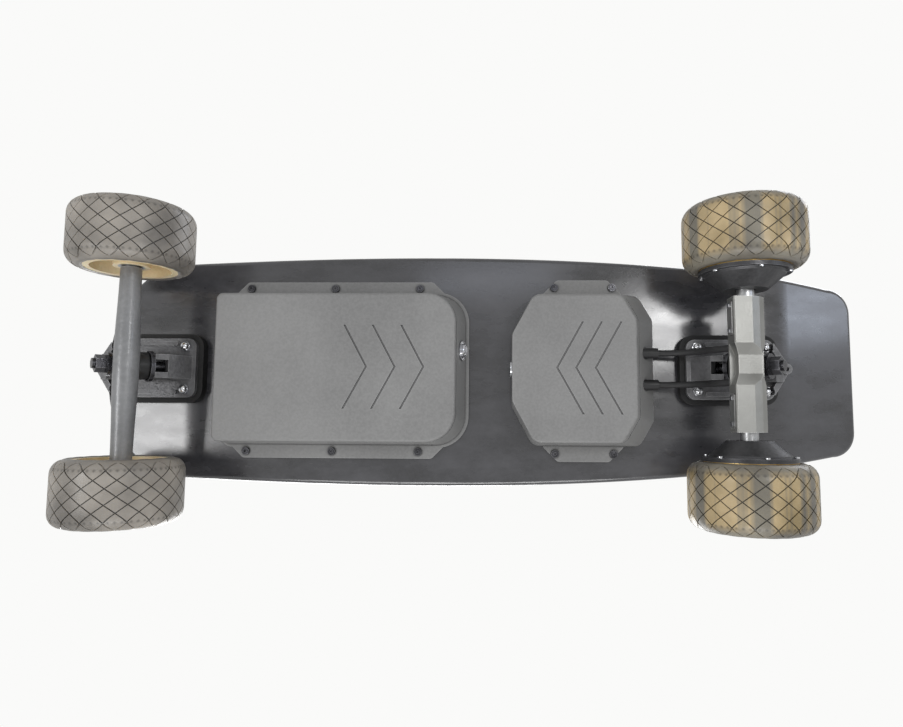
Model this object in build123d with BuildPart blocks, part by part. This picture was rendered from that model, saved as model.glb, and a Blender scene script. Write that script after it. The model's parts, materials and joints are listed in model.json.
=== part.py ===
from build123d import *
import os
from math import atan2, cos, pi, radians, sin, tan

# Electric skateboard. +X points to the nose, +Y to the rider's left when facing the nose, +Z up.
# The origin is on the ground under the middle of the board's box. Millimetres.

os.makedirs("parts", exist_ok=True)

# ---------------------------------------------------------------- driving dimensions
# deck
bolt_centres = 553.0       # middle of the front bolts to middle of the rear bolts
nose_length = 55.0         # front bolt middle to nose tip
tail_length = 131.0        # rear bolt middle to tail end
deck_width = 226.0
deck_thickness = 12.0
grip_thickness = 1.2
edge_round = 4.0           # the underside's rounded edge
kick_angle = 12.0          # the tail's rise, degrees
kick_start = 52.0          # rear bolt middle to the start of the kick
kick_radius = 110.0
tail_end_width = 166.0
tail_corner = 24.0
riser_thickness = 10.0
riser_overlap = 5.0        # riser past the base plate, each way

# trucks
bolt_x = 63.5
bolt_y = 41.3
bolt_hole = 2.75
screw_radius = 2.5
plate_length = 82.0
plate_width = 57.0
plate_thickness = 5.0
plate_corner = 8.0
axle_drop = 58.4           # base plate's face to the axle
axle_inboard = 4.5         # bolt middle to the axle
kingpin_angle = 44.0       # kingpin below the horizontal, degrees
ring_out = 8.2             # ring's middle, outboard of the bolt middle
ring_drop = 34.3           # ring's middle, below the base plate's face
ring_radius = 15.0
ring_thickness = 8.0
ring_hole = 8.0
kingpin_radius = 4.75
kingpin_head = 6.0
kingpin_clearance = 0.05
boardside_height = 14.0
boardside_radius = 13.0
roadside_height = 12.0
roadside_radius = 12.0
roadside_top_radius = 9.5
washer_thickness = 2.0
boardside_washer_radius = 14.5
roadside_washer_radius = 11.2
nut_height = 9.0
nut_radius = 8.1
boss_length = 10.0         # kingpin's seat, along the kingpin
boss_radius = 12.8
boss_half_width = 11.0
pocket_radius = 9.0
pivot_reach = 30.0         # ring's middle to the middle of the pivot's ball
pivot_radius = 5.5
cup_radius = 8.0
cup_gap = 0.3
cup_mouth = 27.0           # ring's middle to the cup's mouth, along the lean axis
cup_depth = 10.0
housing_half_width = 12.0
channel_gap = 1.2          # each side of the kingpin, in the boss's open channel
arm_boss = 5.0
arm_depth = 12.0

# front hanger and axle
front_hanger_half = 85.0
bar_radius_middle = 10.6
bar_radius_end = 8.8
axle_radius = 4.0
axle_end = 138.5
running_gap = 0.05         # radial, a shaft in its bearing
seat_gap = 0.03            # radial, parts pressed together

# rear hanger and motor stubs
rear_hanger_half = 58.0
stub_radius = 7.5
stub_tip_radius = 6.0
stub_depth = 30.0
cover_plate_thickness = 1.5

# wheels
wheel_radius = 52.0
wheel_inner = 83.0         # inner face, from the middle of the board
wheel_outer = 140.0
core_radius = 38.0
shoulder_round = 5.0
bearing_radius = 11.0
bearing_width = 7.0
bearing_inset = 3.2        # inner bearing, past the wheel's inner face
bearing_spacing = 35.0
washer_gap = 0.2

# rear motors
can_wall = 4.0
cone_start = 65.0
cone_small_radius = 19.0
flange_thickness = 3.5
magnet_count = 14
magnet_thickness = 2.5
magnet_width = 12.0
air_gap = 0.7
tooth_count = 12
stack_start = 90.0
stack_end = 126.5

# boxes under the deck
gasket_thickness = 1.5
box_wall = 3.0
flange_height = 3.5
battery_depth = 38.0       # deck's underside to the lid's face
lid_edge_round = 2.5
battery_ahead = 68.5       # lid's front to the front bolts
box_spacing = 53.0         # between the two lids
battery_rear_slope = 9.0   # the rear wall leans this much
battery_half_width = 69.0
battery_side_slope = 4.0
battery_flange_half = 86.0
battery_flange_in = (10.0, 4.0)   # flange's ends, in from the lid's rear and front
battery_screw_in = (37.0, 21.0)   # end screws, in from the lid's rear and front
battery_screw_y = 79.5
battery_corner = 28.0      # the round corners behind
esc_depth = 34.0
esc_length = 115.0
esc_behind = 91.5          # lid's rear to the rear bolts
esc_rear_slope = 22.0
esc_half_width = 69.0
esc_side_slope = 4.0
esc_flange_half = 88.0
esc_flange_in = (8.0, 30.0)
esc_screw_in = (17.5, 41.5)
esc_screw_y = 80.5
esc_facet_length = 24.0    # the lid falls away towards its front
esc_facet_drop = 1.2
flange_slant = 14.0        # the flanges' slanted ends
flange_lip = 2.5           # flange past the walls, all round
seam_width = 1.0
seam_depth = 0.7
seam_height = 4.0          # lid's face to the seam round the walls
mark_depth = 0.8
mark_stroke = 2.0
battery_mark_tips = (28.0, 54.5, 81.0)   # arrow tips, from the lid's rear
esc_mark_tips = (40.5, 58.0, 76.0)       # and from the other lid's front
box_screw_radius = 2.0
box_screw_length = 11.0
box_screw_head = 3.6
button_radius = 6.5
button_y = 17.0
button_drop = 18.0         # deck's underside to the button's middle
button_travel = 1.5
button_depth = 4.0
button_proud = 4.2
port_radius = 4.5
port_depth = 9.0
cable_radius = 3.0
cable_y = 15.0
cell_radius = 9.15
cell_length = 65.2

# ---------------------------------------------------------------- places that follow
bolt_mid = (tail_length - nose_length) / 2
front_x = bolt_mid + bolt_centres / 2
rear_x = bolt_mid - bolt_centres / 2
nose_x = front_x + nose_length
tail_x = rear_x - tail_length
mount_z = wheel_radius + axle_drop
deck_z = mount_z + riser_thickness
half_width = deck_width / 2
esc_rear = rear_x + esc_behind
esc_front = esc_rear + esc_length
battery_rear = esc_front + box_spacing
battery_front = front_x - battery_ahead
battery_ends = (battery_rear + battery_screw_in[0], battery_front - battery_screw_in[1])
battery_screw_x = (battery_ends[0], sum(battery_ends) / 2, battery_ends[1])
esc_screw_x = (esc_rear + esc_screw_in[0], esc_front - esc_screw_in[1])
lean_angle = radians(kingpin_angle)
SIDES = {"left": 1, "right": -1}


def save(part, name):
    """Label a finished piece and write it under its own name."""
    part.label = name
    export_step(part, f"parts/{name}.step")


# ---------------------------------------------------------------- truck frames
# A truck's own frame has its origin on the base plate's face, +X outboard and +Z up.
FRONT = Plane(origin=(front_x, 0, mount_z), x_dir=(1, 0, 0), z_dir=(0, 0, 1))
REAR = Plane(origin=(rear_x, 0, mount_z), x_dir=(-1, 0, 0), z_dir=(0, 0, 1))


def turned(frame, x, z):
    """A direction given in a truck's own frame."""
    return frame.x_dir * x + frame.z_dir * z


def kingpin_dir(frame):
    return turned(frame, cos(lean_angle), -sin(lean_angle))


def lean_dir(frame):
    return turned(frame, sin(lean_angle), cos(lean_angle))


def from_ring(frame, along_kingpin, along_lean):
    """A point in the truck's middle plane, measured from the middle of the hanger's ring."""
    ring = frame.origin + turned(frame, ring_out, -ring_drop)
    return ring + kingpin_dir(frame) * along_kingpin + lean_dir(frame) * along_lean


def across_kingpin(frame, along):
    """Plane square to the kingpin."""
    return Plane(from_ring(frame, along, 0), x_dir=frame.y_dir, z_dir=kingpin_dir(frame))


def across_lean(frame, along):
    """Plane square to the lean axis."""
    return Plane(from_ring(frame, 0, along), x_dir=frame.y_dir, z_dir=lean_dir(frame))


def ring_side(frame):
    """Side view from the ring's middle: x along the kingpin, y along the lean axis."""
    return Plane(from_ring(frame, 0, 0), x_dir=kingpin_dir(frame), z_dir=frame.y_dir * -1)


def plate_side(frame):
    """Side view from the base plate's face: x outboard, y up."""
    return Plane(frame.origin, x_dir=frame.x_dir, z_dir=frame.y_dir * -1)


def axle_point(frame, y=0.0):
    return frame.origin + turned(frame, -axle_inboard, -axle_drop) + Vector(0, y, 0)


def axle_side(frame):
    """Side view from the axle: x outboard, y up."""
    return Plane(axle_point(frame), x_dir=frame.x_dir, z_dir=frame.y_dir * -1)


def along_axle(frame, side):
    """Half section along the axle: x outwards from the middle of the board, y the radius."""
    return Plane(axle_point(frame), x_dir=(0, side, 0), z_dir=(side, 0, 0))


def across_axle(frame, side, y):
    """Plane square to the axle, facing outwards."""
    return Plane(axle_point(frame, side * y), x_dir=(1, 0, 0), z_dir=(0, side, 0))


def kingpin_axis(frame):
    return Axis(from_ring(frame, 0, 0), kingpin_dir(frame))


def lean_axis(frame):
    return Axis(from_ring(frame, 0, 0), lean_dir(frame))


def axle_axis(frame):
    return Axis(axle_point(frame), (0, 1, 0))


boardside_seat = -(ring_thickness / 2 + boardside_height + washer_thickness)
roadside_seat = ring_thickness / 2 + roadside_height + washer_thickness
kingpin_end = roadside_seat + nut_height + 2.5


# ---------------------------------------------------------------- deck and grip
def board_layer(level):
    """Side line of the deck at a level above its underside: flat, then the tail's kick."""
    rise = radians(kick_angle)
    corner_x = rear_x - kick_start + level * tan(rise / 2)
    run = tail_length
    line = FilletPolyline(
        (corner_x - run, deck_z + level + run * tan(rise)),
        (corner_x, deck_z + level),
        (nose_x + nose_length, deck_z + level),
        radius=kick_radius - level,
    )
    return line


def board_profile(low, high):
    """Closed side profile between two levels."""
    with BuildSketch(Plane.XZ) as profile:
        with BuildLine():
            under = board_layer(low)
            over = board_layer(high)
            Line(under @ 0, over @ 0)
            Line(under @ 1, over @ 1)
        make_face()
    return profile.sketch


def board_outline():
    """Plan of the deck: round nose, widest a little behind the middle, square tail."""
    with BuildSketch() as outline:
        with BuildLine():
            nose = Bezier(
                (nose_x, 0),
                (nose_x, half_width - 61),
                (nose_x - 22, half_width - 9.6),
                (nose_x - 75, half_width - 7),
            )
            flank = Bezier(
                nose @ 1,
                (nose_x - 300, half_width + 4),
                (bolt_mid - 188, half_width + 4),
                (tail_x + tail_corner, tail_end_width / 2),
            )
            corner = RadiusArc(
                flank @ 1, (tail_x, tail_end_width / 2 - tail_corner), -tail_corner)
            Line(corner @ 1, (tail_x, 0))
            Line((tail_x, 0), (nose_x, 0))
        make_face()
        mirror(about=Plane.XZ)
    return outline.sketch


def truck_bolts(radius):
    """Eight bolt places."""
    with BuildSketch() as bolts:
        for x in (front_x, rear_x):
            with Locations((x, 0)):
                with GridLocations(bolt_x, bolt_y, 2, 2):
                    Circle(radius)
    return bolts.sketch


box_screws = [(x, s * battery_screw_y) for x in battery_screw_x for s in (1, -1)]
box_screws += [(x, s * esc_screw_y) for x in esc_screw_x for s in (1, -1)]

outline = board_outline()
headroom = tail_length
screw_head_radius = 4.6
screw_head_height = screw_head_radius - screw_radius

with BuildPart() as deck:
    extrude(outline.moved(Location((0, 0, deck_z - 1))), amount=headroom)
    extrude(board_profile(0, deck_thickness), amount=deck_width, both=True, mode=Mode.INTERSECT)
    sides = [f for f in deck.faces() if abs(f.normal_at().Z) < 0.15]
    rim = []
    for edge in [e for face in sides for e in face.edges()]:
        middle = edge @ 0.5
        steep = abs((edge @ 1 - edge @ 0).Z) > 0.9 * edge.length
        past_kick = max(0, rear_x - kick_start - middle.X) * tan(radians(kick_angle))
        if not steep and middle.Z < deck_z + past_kick + deck_thickness / 2:
            rim.append(edge)
    fillet(rim, radius=edge_round)
    extrude(truck_bolts(bolt_hole).moved(Location((0, 0, deck_z))), amount=headroom,
            mode=Mode.SUBTRACT)
    for x in (front_x, rear_x):
        with Locations((x, 0, deck_z + deck_thickness)):
            with GridLocations(bolt_x, bolt_y, 2, 2):
                Cone(bolt_hole, screw_head_radius + 0.1, screw_head_height,
                     align=(Align.CENTER, Align.CENTER, Align.MAX), mode=Mode.SUBTRACT)
    with BuildSketch(Plane.XY.offset(deck_z)):
        with Locations(*box_screws):
            Circle(box_screw_radius + 0.1)
    extrude(amount=box_screw_length - flange_height - gasket_thickness + 0.5, mode=Mode.SUBTRACT)
save(deck.part, "deck")

with BuildPart() as grip:
    extrude(outline.moved(Location((0, 0, deck_z))), amount=headroom)
    extrude(board_profile(deck_thickness, deck_thickness + grip_thickness),
            amount=deck_width, both=True, mode=Mode.INTERSECT)
    extrude(truck_bolts(screw_head_radius + 0.6).moved(Location((0, 0, deck_z))),
            amount=headroom, mode=Mode.SUBTRACT)
save(grip.part, "grip_tape")

# ---------------------------------------------------------------- truck fixings
with BuildPart() as risers:
    for frame in (FRONT, REAR):
        with BuildSketch(frame):
            RectangleRounded(plate_length + 2 * riser_overlap, plate_width + 2 * riser_overlap,
                             plate_corner + riser_overlap)
            with GridLocations(bolt_x, bolt_y, 2, 2):
                Circle(bolt_hole, mode=Mode.SUBTRACT)
        extrude(amount=riser_thickness)
save(risers.part, "riser_pads")

truck_nut_height = 4.0
truck_nut_radius = 4.9
truck_nut_dome = 4.1
screw_past_nut = 2.5       # the screw's end stands inside the nut's dome
screw_bottom = mount_z - plate_thickness - truck_nut_height - screw_past_nut

with BuildPart() as screws:
    for x in (front_x, rear_x):
        with BuildSketch(Plane.XY.offset(screw_bottom)):
            with Locations((x, 0)):
                with GridLocations(bolt_x, bolt_y, 2, 2):
                    Circle(screw_radius)
        extrude(amount=deck_z + deck_thickness - screw_head_height - screw_bottom)
        with Locations((x, 0, deck_z + deck_thickness)):
            with GridLocations(bolt_x, bolt_y, 2, 2):
                Cone(screw_radius, screw_head_radius, screw_head_height,
                     align=(Align.CENTER, Align.CENTER, Align.MAX))
                Cylinder(screw_head_radius, 0.6, align=(Align.CENTER, Align.CENTER, Align.MIN))
    # cross recess in each head
    for x in (front_x, rear_x):
        with BuildSketch(Plane.XY.offset(deck_z + deck_thickness + 0.6)):
            with Locations((x, 0)):
                with GridLocations(bolt_x, bolt_y, 2, 2):
                    Rectangle(5.0, 1.1)
                    Rectangle(1.1, 5.0)
        extrude(amount=-2.0, mode=Mode.SUBTRACT)
save(screws.part, "truck_screws")

with BuildPart() as truck_nuts:
    for x in (front_x, rear_x):
        with BuildSketch(Plane.XY.offset(mount_z - plate_thickness)):
            with Locations((x, 0)):
                with GridLocations(bolt_x, bolt_y, 2, 2):
                    RegularPolygon(truck_nut_radius, 6)
        extrude(amount=-truck_nut_height)
        with Locations((x, 0, mount_z - plate_thickness - truck_nut_height)):
            with GridLocations(bolt_x, bolt_y, 2, 2):
                Sphere(truck_nut_dome)
    extrude(truck_bolts(truck_nut_radius).moved(Location((0, 0, mount_z - plate_thickness))),
            amount=truck_nut_dome, mode=Mode.SUBTRACT)
    extrude(truck_bolts(screw_radius + seat_gap).moved(Location((0, 0, screw_bottom - 0.2))),
            amount=mount_z - screw_bottom, mode=Mode.SUBTRACT)
save(truck_nuts.part, "truck_nuts")


# ---------------------------------------------------------------- base plates
def boss_corner(frame, along_kingpin, along_lean):
    """A place by the ring, written in the base plate's side view."""
    point = plate_side(frame).to_local_coords(from_ring(frame, along_kingpin, along_lean))
    return (point.X, point.Y)


def make_baseplate(frame):
    half = plate_length / 2
    seat = boardside_seat
    with BuildPart() as base:
        with BuildSketch(frame):
            RectangleRounded(plate_length, plate_width, plate_corner)
        extrude(amount=-plate_thickness)
        # wedge that carries the kingpin
        with BuildSketch(plate_side(frame)):
            with BuildLine():
                Polyline(
                    (-half + 3, -plate_thickness + 1),
                    boss_corner(frame, seat - boss_length, -boss_radius - 4),
                    boss_corner(frame, seat, -boss_radius),
                    boss_corner(frame, seat, boss_radius),
                    (half / 4 - 2.5, -plate_thickness + 1),
                    close=True,
                )
            make_face()
        extrude(amount=boss_half_width, both=True)
        with BuildSketch(across_kingpin(frame, seat)):
            Circle(boss_radius)
        extrude(amount=-boss_length)
        # housing round the pivot cup
        with BuildSketch(plate_side(frame)):
            with BuildLine():
                Polyline(
                    (half / 2 - 5, -plate_thickness + 1),
                    boss_corner(frame, -cup_radius - 3, cup_mouth),
                    boss_corner(frame, cup_radius + 3.5, cup_mouth),
                    (half + 3, -17),
                    (half + 7, -plate_thickness - 3),
                    (half + 7, -1),
                    (half - 5, -1),
                    close=True,
                )
            make_face()
        extrude(amount=housing_half_width, both=True)
        # slanting arms from the outboard corners to a boss at the housing's end
        for s in (1, -1):
            with BuildSketch(frame.offset(-1)):
                with BuildLine():
                    Polyline((half - 9, s * 24), (half - 3, s * 24), (half + 9, s * arm_boss),
                             (half + 5, s * 2), close=True)
                make_face()
            extrude(amount=-arm_depth)
        with BuildSketch(frame.offset(-1)):
            with Locations((half + 7, 0)):
                Circle(arm_boss)
        extrude(amount=-arm_depth - 3)
        with BuildSketch(frame.offset(-arm_depth - 4)):
            with Locations((half + 7, 0)):
                Circle(2.2)
        extrude(amount=4, mode=Mode.SUBTRACT)
        # ribs from the kingpin's wedge to the pivot's housing
        for y in (-plate_width / 2 + 5, plate_width / 2 - 5):
            with BuildSketch(frame.offset(-plate_thickness)):
                with Locations((0, y)):
                    SlotOverall(bolt_x - 3 * truck_nut_radius, 4)
            extrude(amount=-3)
        # room for the nuts and for the socket that turns them
        with BuildSketch(frame.offset(-plate_thickness)):
            with GridLocations(bolt_x, bolt_y, 2, 2):
                Circle(truck_nut_radius + 1)
        extrude(amount=-arm_depth - 3, mode=Mode.SUBTRACT)
        with BuildSketch(frame):
            with GridLocations(bolt_x, bolt_y, 2, 2):
                Circle(bolt_hole)
        extrude(amount=-plate_thickness, mode=Mode.SUBTRACT)
        with BuildSketch(across_kingpin(frame, seat)):
            Circle(kingpin_radius + kingpin_clearance)
        extrude(amount=-boss_length, mode=Mode.SUBTRACT)
        with BuildSketch(across_kingpin(frame, seat)):
            Rectangle(2 * (kingpin_radius + channel_gap), 2 * boss_radius,
                      align=(Align.CENTER, Align.MAX))
        extrude(amount=-boss_length, mode=Mode.SUBTRACT)
        with BuildSketch(across_kingpin(frame, seat - boss_length)):
            Circle(pocket_radius)
        extrude(amount=-half, mode=Mode.SUBTRACT)
        with BuildSketch(across_lean(frame, cup_mouth - 1)):
            Circle(cup_radius + seat_gap)
        extrude(amount=cup_depth + 1, mode=Mode.SUBTRACT)
    return base.part


save(make_baseplate(FRONT), "front_baseplate")
save(make_baseplate(REAR), "rear_baseplate")


def ring_profile(frame, points):
    """Closed profile in the ring's side view."""
    with BuildSketch(ring_side(frame)) as profile:
        with BuildLine():
            Polyline(*points, close=True)
        make_face()
    return profile.sketch


with BuildPart() as kingpins:
    for frame in (FRONT, REAR):
        head = boardside_seat - boss_length
        with BuildSketch(across_kingpin(frame, head - kingpin_head)):
            RegularPolygon(pocket_radius - 1, 6)
        extrude(amount=kingpin_head)
        with BuildSketch(across_kingpin(frame, head)):
            Circle(kingpin_radius)
        extrude(amount=kingpin_end - head)
save(kingpins.part, "kingpins")

with BuildPart() as kingpin_nuts:
    for frame in (FRONT, REAR):
        with BuildSketch(across_kingpin(frame, roadside_seat)):
            RegularPolygon(nut_radius, 6)
            Circle(kingpin_radius + seat_gap, mode=Mode.SUBTRACT)
        extrude(amount=nut_height)
save(kingpin_nuts.part, "kingpin_nuts")

kingpin_hole = kingpin_radius + 0.25
with BuildPart() as washers:
    for frame in (FRONT, REAR):
        back = boardside_seat
        front = back + washer_thickness
        lip = boardside_radius + cup_gap
        revolve(ring_profile(frame, [
            (back, kingpin_hole), (back, boardside_washer_radius),
            (front + 1.5, boardside_washer_radius), (front + 1.5, lip),
            (front, lip), (front, kingpin_hole),
        ]), axis=kingpin_axis(frame))
        back = roadside_seat
        front = back - washer_thickness
        lip = roadside_top_radius + 0.7
        revolve(ring_profile(frame, [
            (back, kingpin_hole), (back, roadside_washer_radius),
            (front - 1.2, roadside_washer_radius), (front - 1.2, lip),
            (front, lip), (front, kingpin_hole),
        ]), axis=kingpin_axis(frame))
save(washers.part, "kingpin_washers")


def make_boardside_bushing(frame):
    low = boardside_seat + washer_thickness
    high = -ring_thickness / 2
    soft = 1.5
    with BuildPart() as bushing:
        revolve(ring_profile(frame, [
            (low, kingpin_hole), (low, boardside_radius - soft), (low + soft, boardside_radius),
            (high - soft, boardside_radius), (high, boardside_radius - soft),
            (high, kingpin_hole),
        ]), axis=kingpin_axis(frame))
    return bushing.part


def make_roadside_bushing(frame):
    low = ring_thickness / 2
    high = roadside_seat - washer_thickness
    with BuildPart() as bushing:
        revolve(ring_profile(frame, [
            (low, kingpin_hole), (low, roadside_radius), (high, roadside_top_radius),
            (high, kingpin_hole),
        ]), axis=kingpin_axis(frame))
    return bushing.part


for end, frame in (("front", FRONT), ("rear", REAR)):
    save(make_boardside_bushing(frame), f"{end}_boardside_bushing")
    save(make_roadside_bushing(frame), f"{end}_roadside_bushing")

with BuildPart() as cups:
    for frame in (FRONT, REAR):
        bore = pivot_radius + cup_gap
        bottom = cup_mouth + cup_depth
        revolve(ring_profile(frame, [
            (bore, cup_mouth), (cup_radius, cup_mouth), (cup_radius, bottom), (0, bottom),
            (0, bottom - 1), (bore, bottom - 1),
        ]), axis=lean_axis(frame))
save(cups.part, "pivot_cups")


# ---------------------------------------------------------------- hangers
def add_ring_and_pivot(frame):
    """The ring round the kingpin, its web to the bar, and the pivot's nose."""
    half = ring_thickness / 2
    with BuildSketch(across_kingpin(frame, -half)) as ring:
        Circle(ring_radius)
    extrude(ring.sketch, amount=ring_thickness)
    neck = ring_radius + 3
    ball = pivot_radius * cos(radians(45))
    with BuildSketch(ring_side(frame)) as nose:
        with BuildLine():
            Polyline(
                (0, ring_radius - 3), (half, ring_radius - 3), (half, ring_radius - 0.4),
                (pivot_radius + 1.5, neck), (pivot_radius, cup_mouth - 2),
                (pivot_radius, pivot_reach),
            )
            ThreePointArc((pivot_radius, pivot_reach), (ball, pivot_reach + ball),
                          (0, pivot_reach + pivot_radius))
            Line((0, pivot_reach + pivot_radius), (0, ring_radius - 3))
        make_face()
    revolve(nose.sketch, axis=lean_axis(frame))
    web = ring_profile(frame, [
        (-half, -ring_radius + 4), (half, -ring_radius + 4), (half, -ring_radius + 1),
        (half + 9, -ring_radius - 4.5), (half + 11, -ring_radius - 13),
        (half, -ring_radius - 18), (-half + 1, -ring_radius - 11),
    ])
    extrude(web, amount=ring_radius - 2, both=True)


def bore_ring(frame):
    with BuildSketch(across_kingpin(frame, -ring_thickness)) as bore:
        Circle(ring_hole)
    extrude(bore.sketch, amount=2 * ring_thickness, mode=Mode.SUBTRACT)


with BuildPart() as front_hanger:
    add_ring_and_pivot(FRONT)
    with BuildSketch(along_axle(FRONT, 1)):
        with BuildLine():
            bar = Spline(
                (-front_hanger_half, bar_radius_end),
                (0, bar_radius_middle),
                (front_hanger_half, bar_radius_end),
                tangents=[(1, 0), (1, 0)],
            )
            Polyline(bar @ 1, (front_hanger_half, 0), (-front_hanger_half, 0), bar @ 0)
        make_face()
    revolve(axis=axle_axis(FRONT))
    bore_ring(FRONT)
    with BuildSketch(axle_side(FRONT)):
        Circle(axle_radius + seat_gap)
    extrude(amount=front_hanger_half + 1, both=True, mode=Mode.SUBTRACT)
save(front_hanger.part, "front_hanger")

# The milled rear bar's section, its waist in the middle, and the covers on its inboard face.
bar_half_x = 14.5
bar_low = 12.5
bar_high = 10.0
waist_low = 7.5            # the waist's underside, below the axle
waist_half_x = 10.0
waist_half_y = 8.0
waist_slope = 10.0         # length of each slope up to the full bar
cover_from = 25.0
cover_to = rear_hanger_half - 3.0
cover_half_height = 5.5
cover_seat = 0.5
cover_screw_y = (cover_from + 4, cover_to - 4)
cover_screw_radius = 1.25
# Plane on the bar's inboard face, facing away from it, level with the axle.
cover_plane = Plane(axle_point(REAR) - REAR.x_dir * bar_half_x, x_dir=(0, 1, 0),
                    z_dir=REAR.x_dir * -1)
cover_z = -3.5


def cover_place(side):
    """Middle of a cover plate on the bar's inboard face."""
    return (side * (cover_from + cover_to) / 2, cover_z)


cable_end = (-14.5, -54.4)
cable_route = [(-68.0, -8.2), (-56.0, -9.6), (-42.0, -16.6), (-32.0, -29.0), (-24.5, -43.5),
               cable_end]


def cable_socket(side):
    """Plane at the cable's end, facing back along its last run."""
    before = cable_route[-2]
    run = REAR.x_dir * (before[0] - cable_end[0]) + REAR.z_dir * (before[1] - cable_end[1])
    end = REAR.origin + turned(REAR, *cable_end) + Vector(0, side * cable_y, 0)
    return Plane(end, x_dir=(0, 1, 0), z_dir=run)


with BuildPart() as rear_hanger:
    add_ring_and_pivot(REAR)
    with BuildSketch(axle_side(REAR)):
        with BuildLine():
            Polyline(
                (-bar_half_x, 4), (-bar_half_x, 1 - bar_low), (1 - bar_half_x, -bar_low),
                (1, -bar_low), (8, 2.5 - bar_low), (bar_half_x, -3), (bar_half_x, 2),
                (2, bar_high - 1), (-9, bar_high), close=True,
            )
        make_face()
    extrude(amount=rear_hanger_half, both=True)
    # waist: the underside and both sides fall in towards the middle
    full_y = waist_half_y + waist_slope
    with BuildSketch(Plane(axle_point(REAR), x_dir=(0, 1, 0), z_dir=(1, 0, 0))):
        with BuildLine():
            Polyline((-full_y, -bar_low), (-waist_half_y, -waist_low), (waist_half_y, -waist_low),
                     (full_y, -bar_low), (full_y, -bar_low - 1), (-full_y, -bar_low - 1),
                     close=True)
        make_face()
    extrude(amount=bar_half_x + 1, both=True, mode=Mode.SUBTRACT)
    for way in (1, -1):
        with BuildSketch(Plane(axle_point(REAR) - Vector(0, 0, bar_low), x_dir=REAR.x_dir,
                               z_dir=(0, 0, 1))):
            with BuildLine():
                Polyline((way * bar_half_x, full_y), (way * waist_half_x, waist_half_y),
                         (way * waist_half_x, -waist_half_y), (way * bar_half_x, -full_y),
                         (way * (bar_half_x + 1), -full_y), (way * (bar_half_x + 1), full_y),
                         close=True)
            make_face()
        extrude(amount=bar_low + 1, mode=Mode.SUBTRACT)
    bore_ring(REAR)
    for side in SIDES.values():
        with BuildSketch(across_axle(REAR, side, rear_hanger_half - stub_depth)):
            Circle(stub_radius + seat_gap)
        extrude(amount=stub_depth + 1, mode=Mode.SUBTRACT)
        with BuildSketch(cover_plane):
            with Locations(cover_place(side)):
                Rectangle(cover_to - cover_from + 0.2, 2 * cover_half_height + 0.2)
        extrude(amount=-cover_seat, mode=Mode.SUBTRACT)
        with BuildSketch(cover_plane):
            with Locations(*[(side * y, cover_z) for y in cover_screw_y]):
                Circle(cover_screw_radius + 0.05)
        extrude(amount=-4, mode=Mode.SUBTRACT)
        with BuildSketch(cable_socket(side)):
            Circle(cable_radius + cup_gap)
        extrude(amount=8, mode=Mode.SUBTRACT)
save(rear_hanger.part, "rear_hanger")

with BuildPart() as hanger_covers:
    for side in SIDES.values():
        with BuildSketch(cover_plane.offset(-cover_seat)):
            with Locations(cover_place(side)):
                RectangleRounded(cover_to - cover_from, 2 * cover_half_height, 2)
            with Locations(*[(side * y, cover_z) for y in cover_screw_y]):
                Circle(cover_screw_radius + 0.05, mode=Mode.SUBTRACT)
        extrude(amount=cover_plate_thickness)
save(hanger_covers.part, "hanger_covers")

with BuildPart() as hanger_cover_screws:
    for side in SIDES.values():
        head = cover_plane.offset(cover_plate_thickness - cover_seat)
        with BuildSketch(head):
            with Locations(*[(side * y, cover_z) for y in cover_screw_y]):
                Circle(cover_screw_radius)
        extrude(amount=-4.8)
        with BuildSketch(head):
            with Locations(*[(side * y, cover_z) for y in cover_screw_y]):
                Circle(2.3)
        extrude(amount=1.2)
save(hanger_cover_screws.part, "hanger_cover_screws")

# ---------------------------------------------------------------- axles
with BuildPart() as front_axle:
    with BuildSketch(axle_side(FRONT)):
        Circle(axle_radius)
    extrude(amount=axle_end, both=True)
    chamfer(front_axle.edges().filter_by(GeomType.CIRCLE), length=0.8)
save(front_axle.part, "front_axle")

motor_inner_bearing = 67.0
motor_bearing_width = 8.0
motor_outer_bearing = 129.0
stub_end = motor_outer_bearing + motor_bearing_width - 0.5

with BuildPart() as stubs:
    for side in SIDES.values():
        with BuildSketch(across_axle(REAR, side, rear_hanger_half - stub_depth + 0.5)):
            Circle(stub_radius)
        extrude(amount=stack_start + stub_depth - rear_hanger_half - 0.5)
        with BuildSketch(across_axle(REAR, side, stack_start)):
            Circle(stub_tip_radius)
        extrude(amount=stub_end - stack_start)
save(stubs.part, "rear_axle_stubs")


# ---------------------------------------------------------------- front wheels
def axle_profile(frame, side, points):
    """Closed profile by the axle: (distance from the middle of the board, radius)."""
    with BuildSketch(along_axle(frame, side)) as profile:
        with BuildLine():
            Polyline(*points, close=True)
        make_face()
    return profile.sketch


def ring_between(frame, side, start, end, bore, radius):
    """A plain ring on the axle."""
    revolve(axle_profile(frame, side, [(start, bore), (start, radius), (end, radius),
                                       (end, bore)]), axis=axle_axis(frame))


def make_tyre(frame, side):
    """Poured tyre with rounded shoulders; its tread is shallow."""
    inner = core_radius + seat_gap
    r = shoulder_round
    with BuildPart() as tyre:
        with BuildSketch(along_axle(frame, side)):
            with BuildLine():
                Line((wheel_inner, inner), (wheel_inner, wheel_radius - r))
                RadiusArc((wheel_inner, wheel_radius - r), (wheel_inner + r, wheel_radius), r)
                Line((wheel_inner + r, wheel_radius), (wheel_outer - r, wheel_radius))
                RadiusArc((wheel_outer - r, wheel_radius), (wheel_outer, wheel_radius - r), r)
                Line((wheel_outer, wheel_radius - r), (wheel_outer, inner))
                Line((wheel_outer, inner), (wheel_inner, inner))
            make_face()
        revolve(axis=axle_axis(frame))
    return tyre.part


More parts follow.
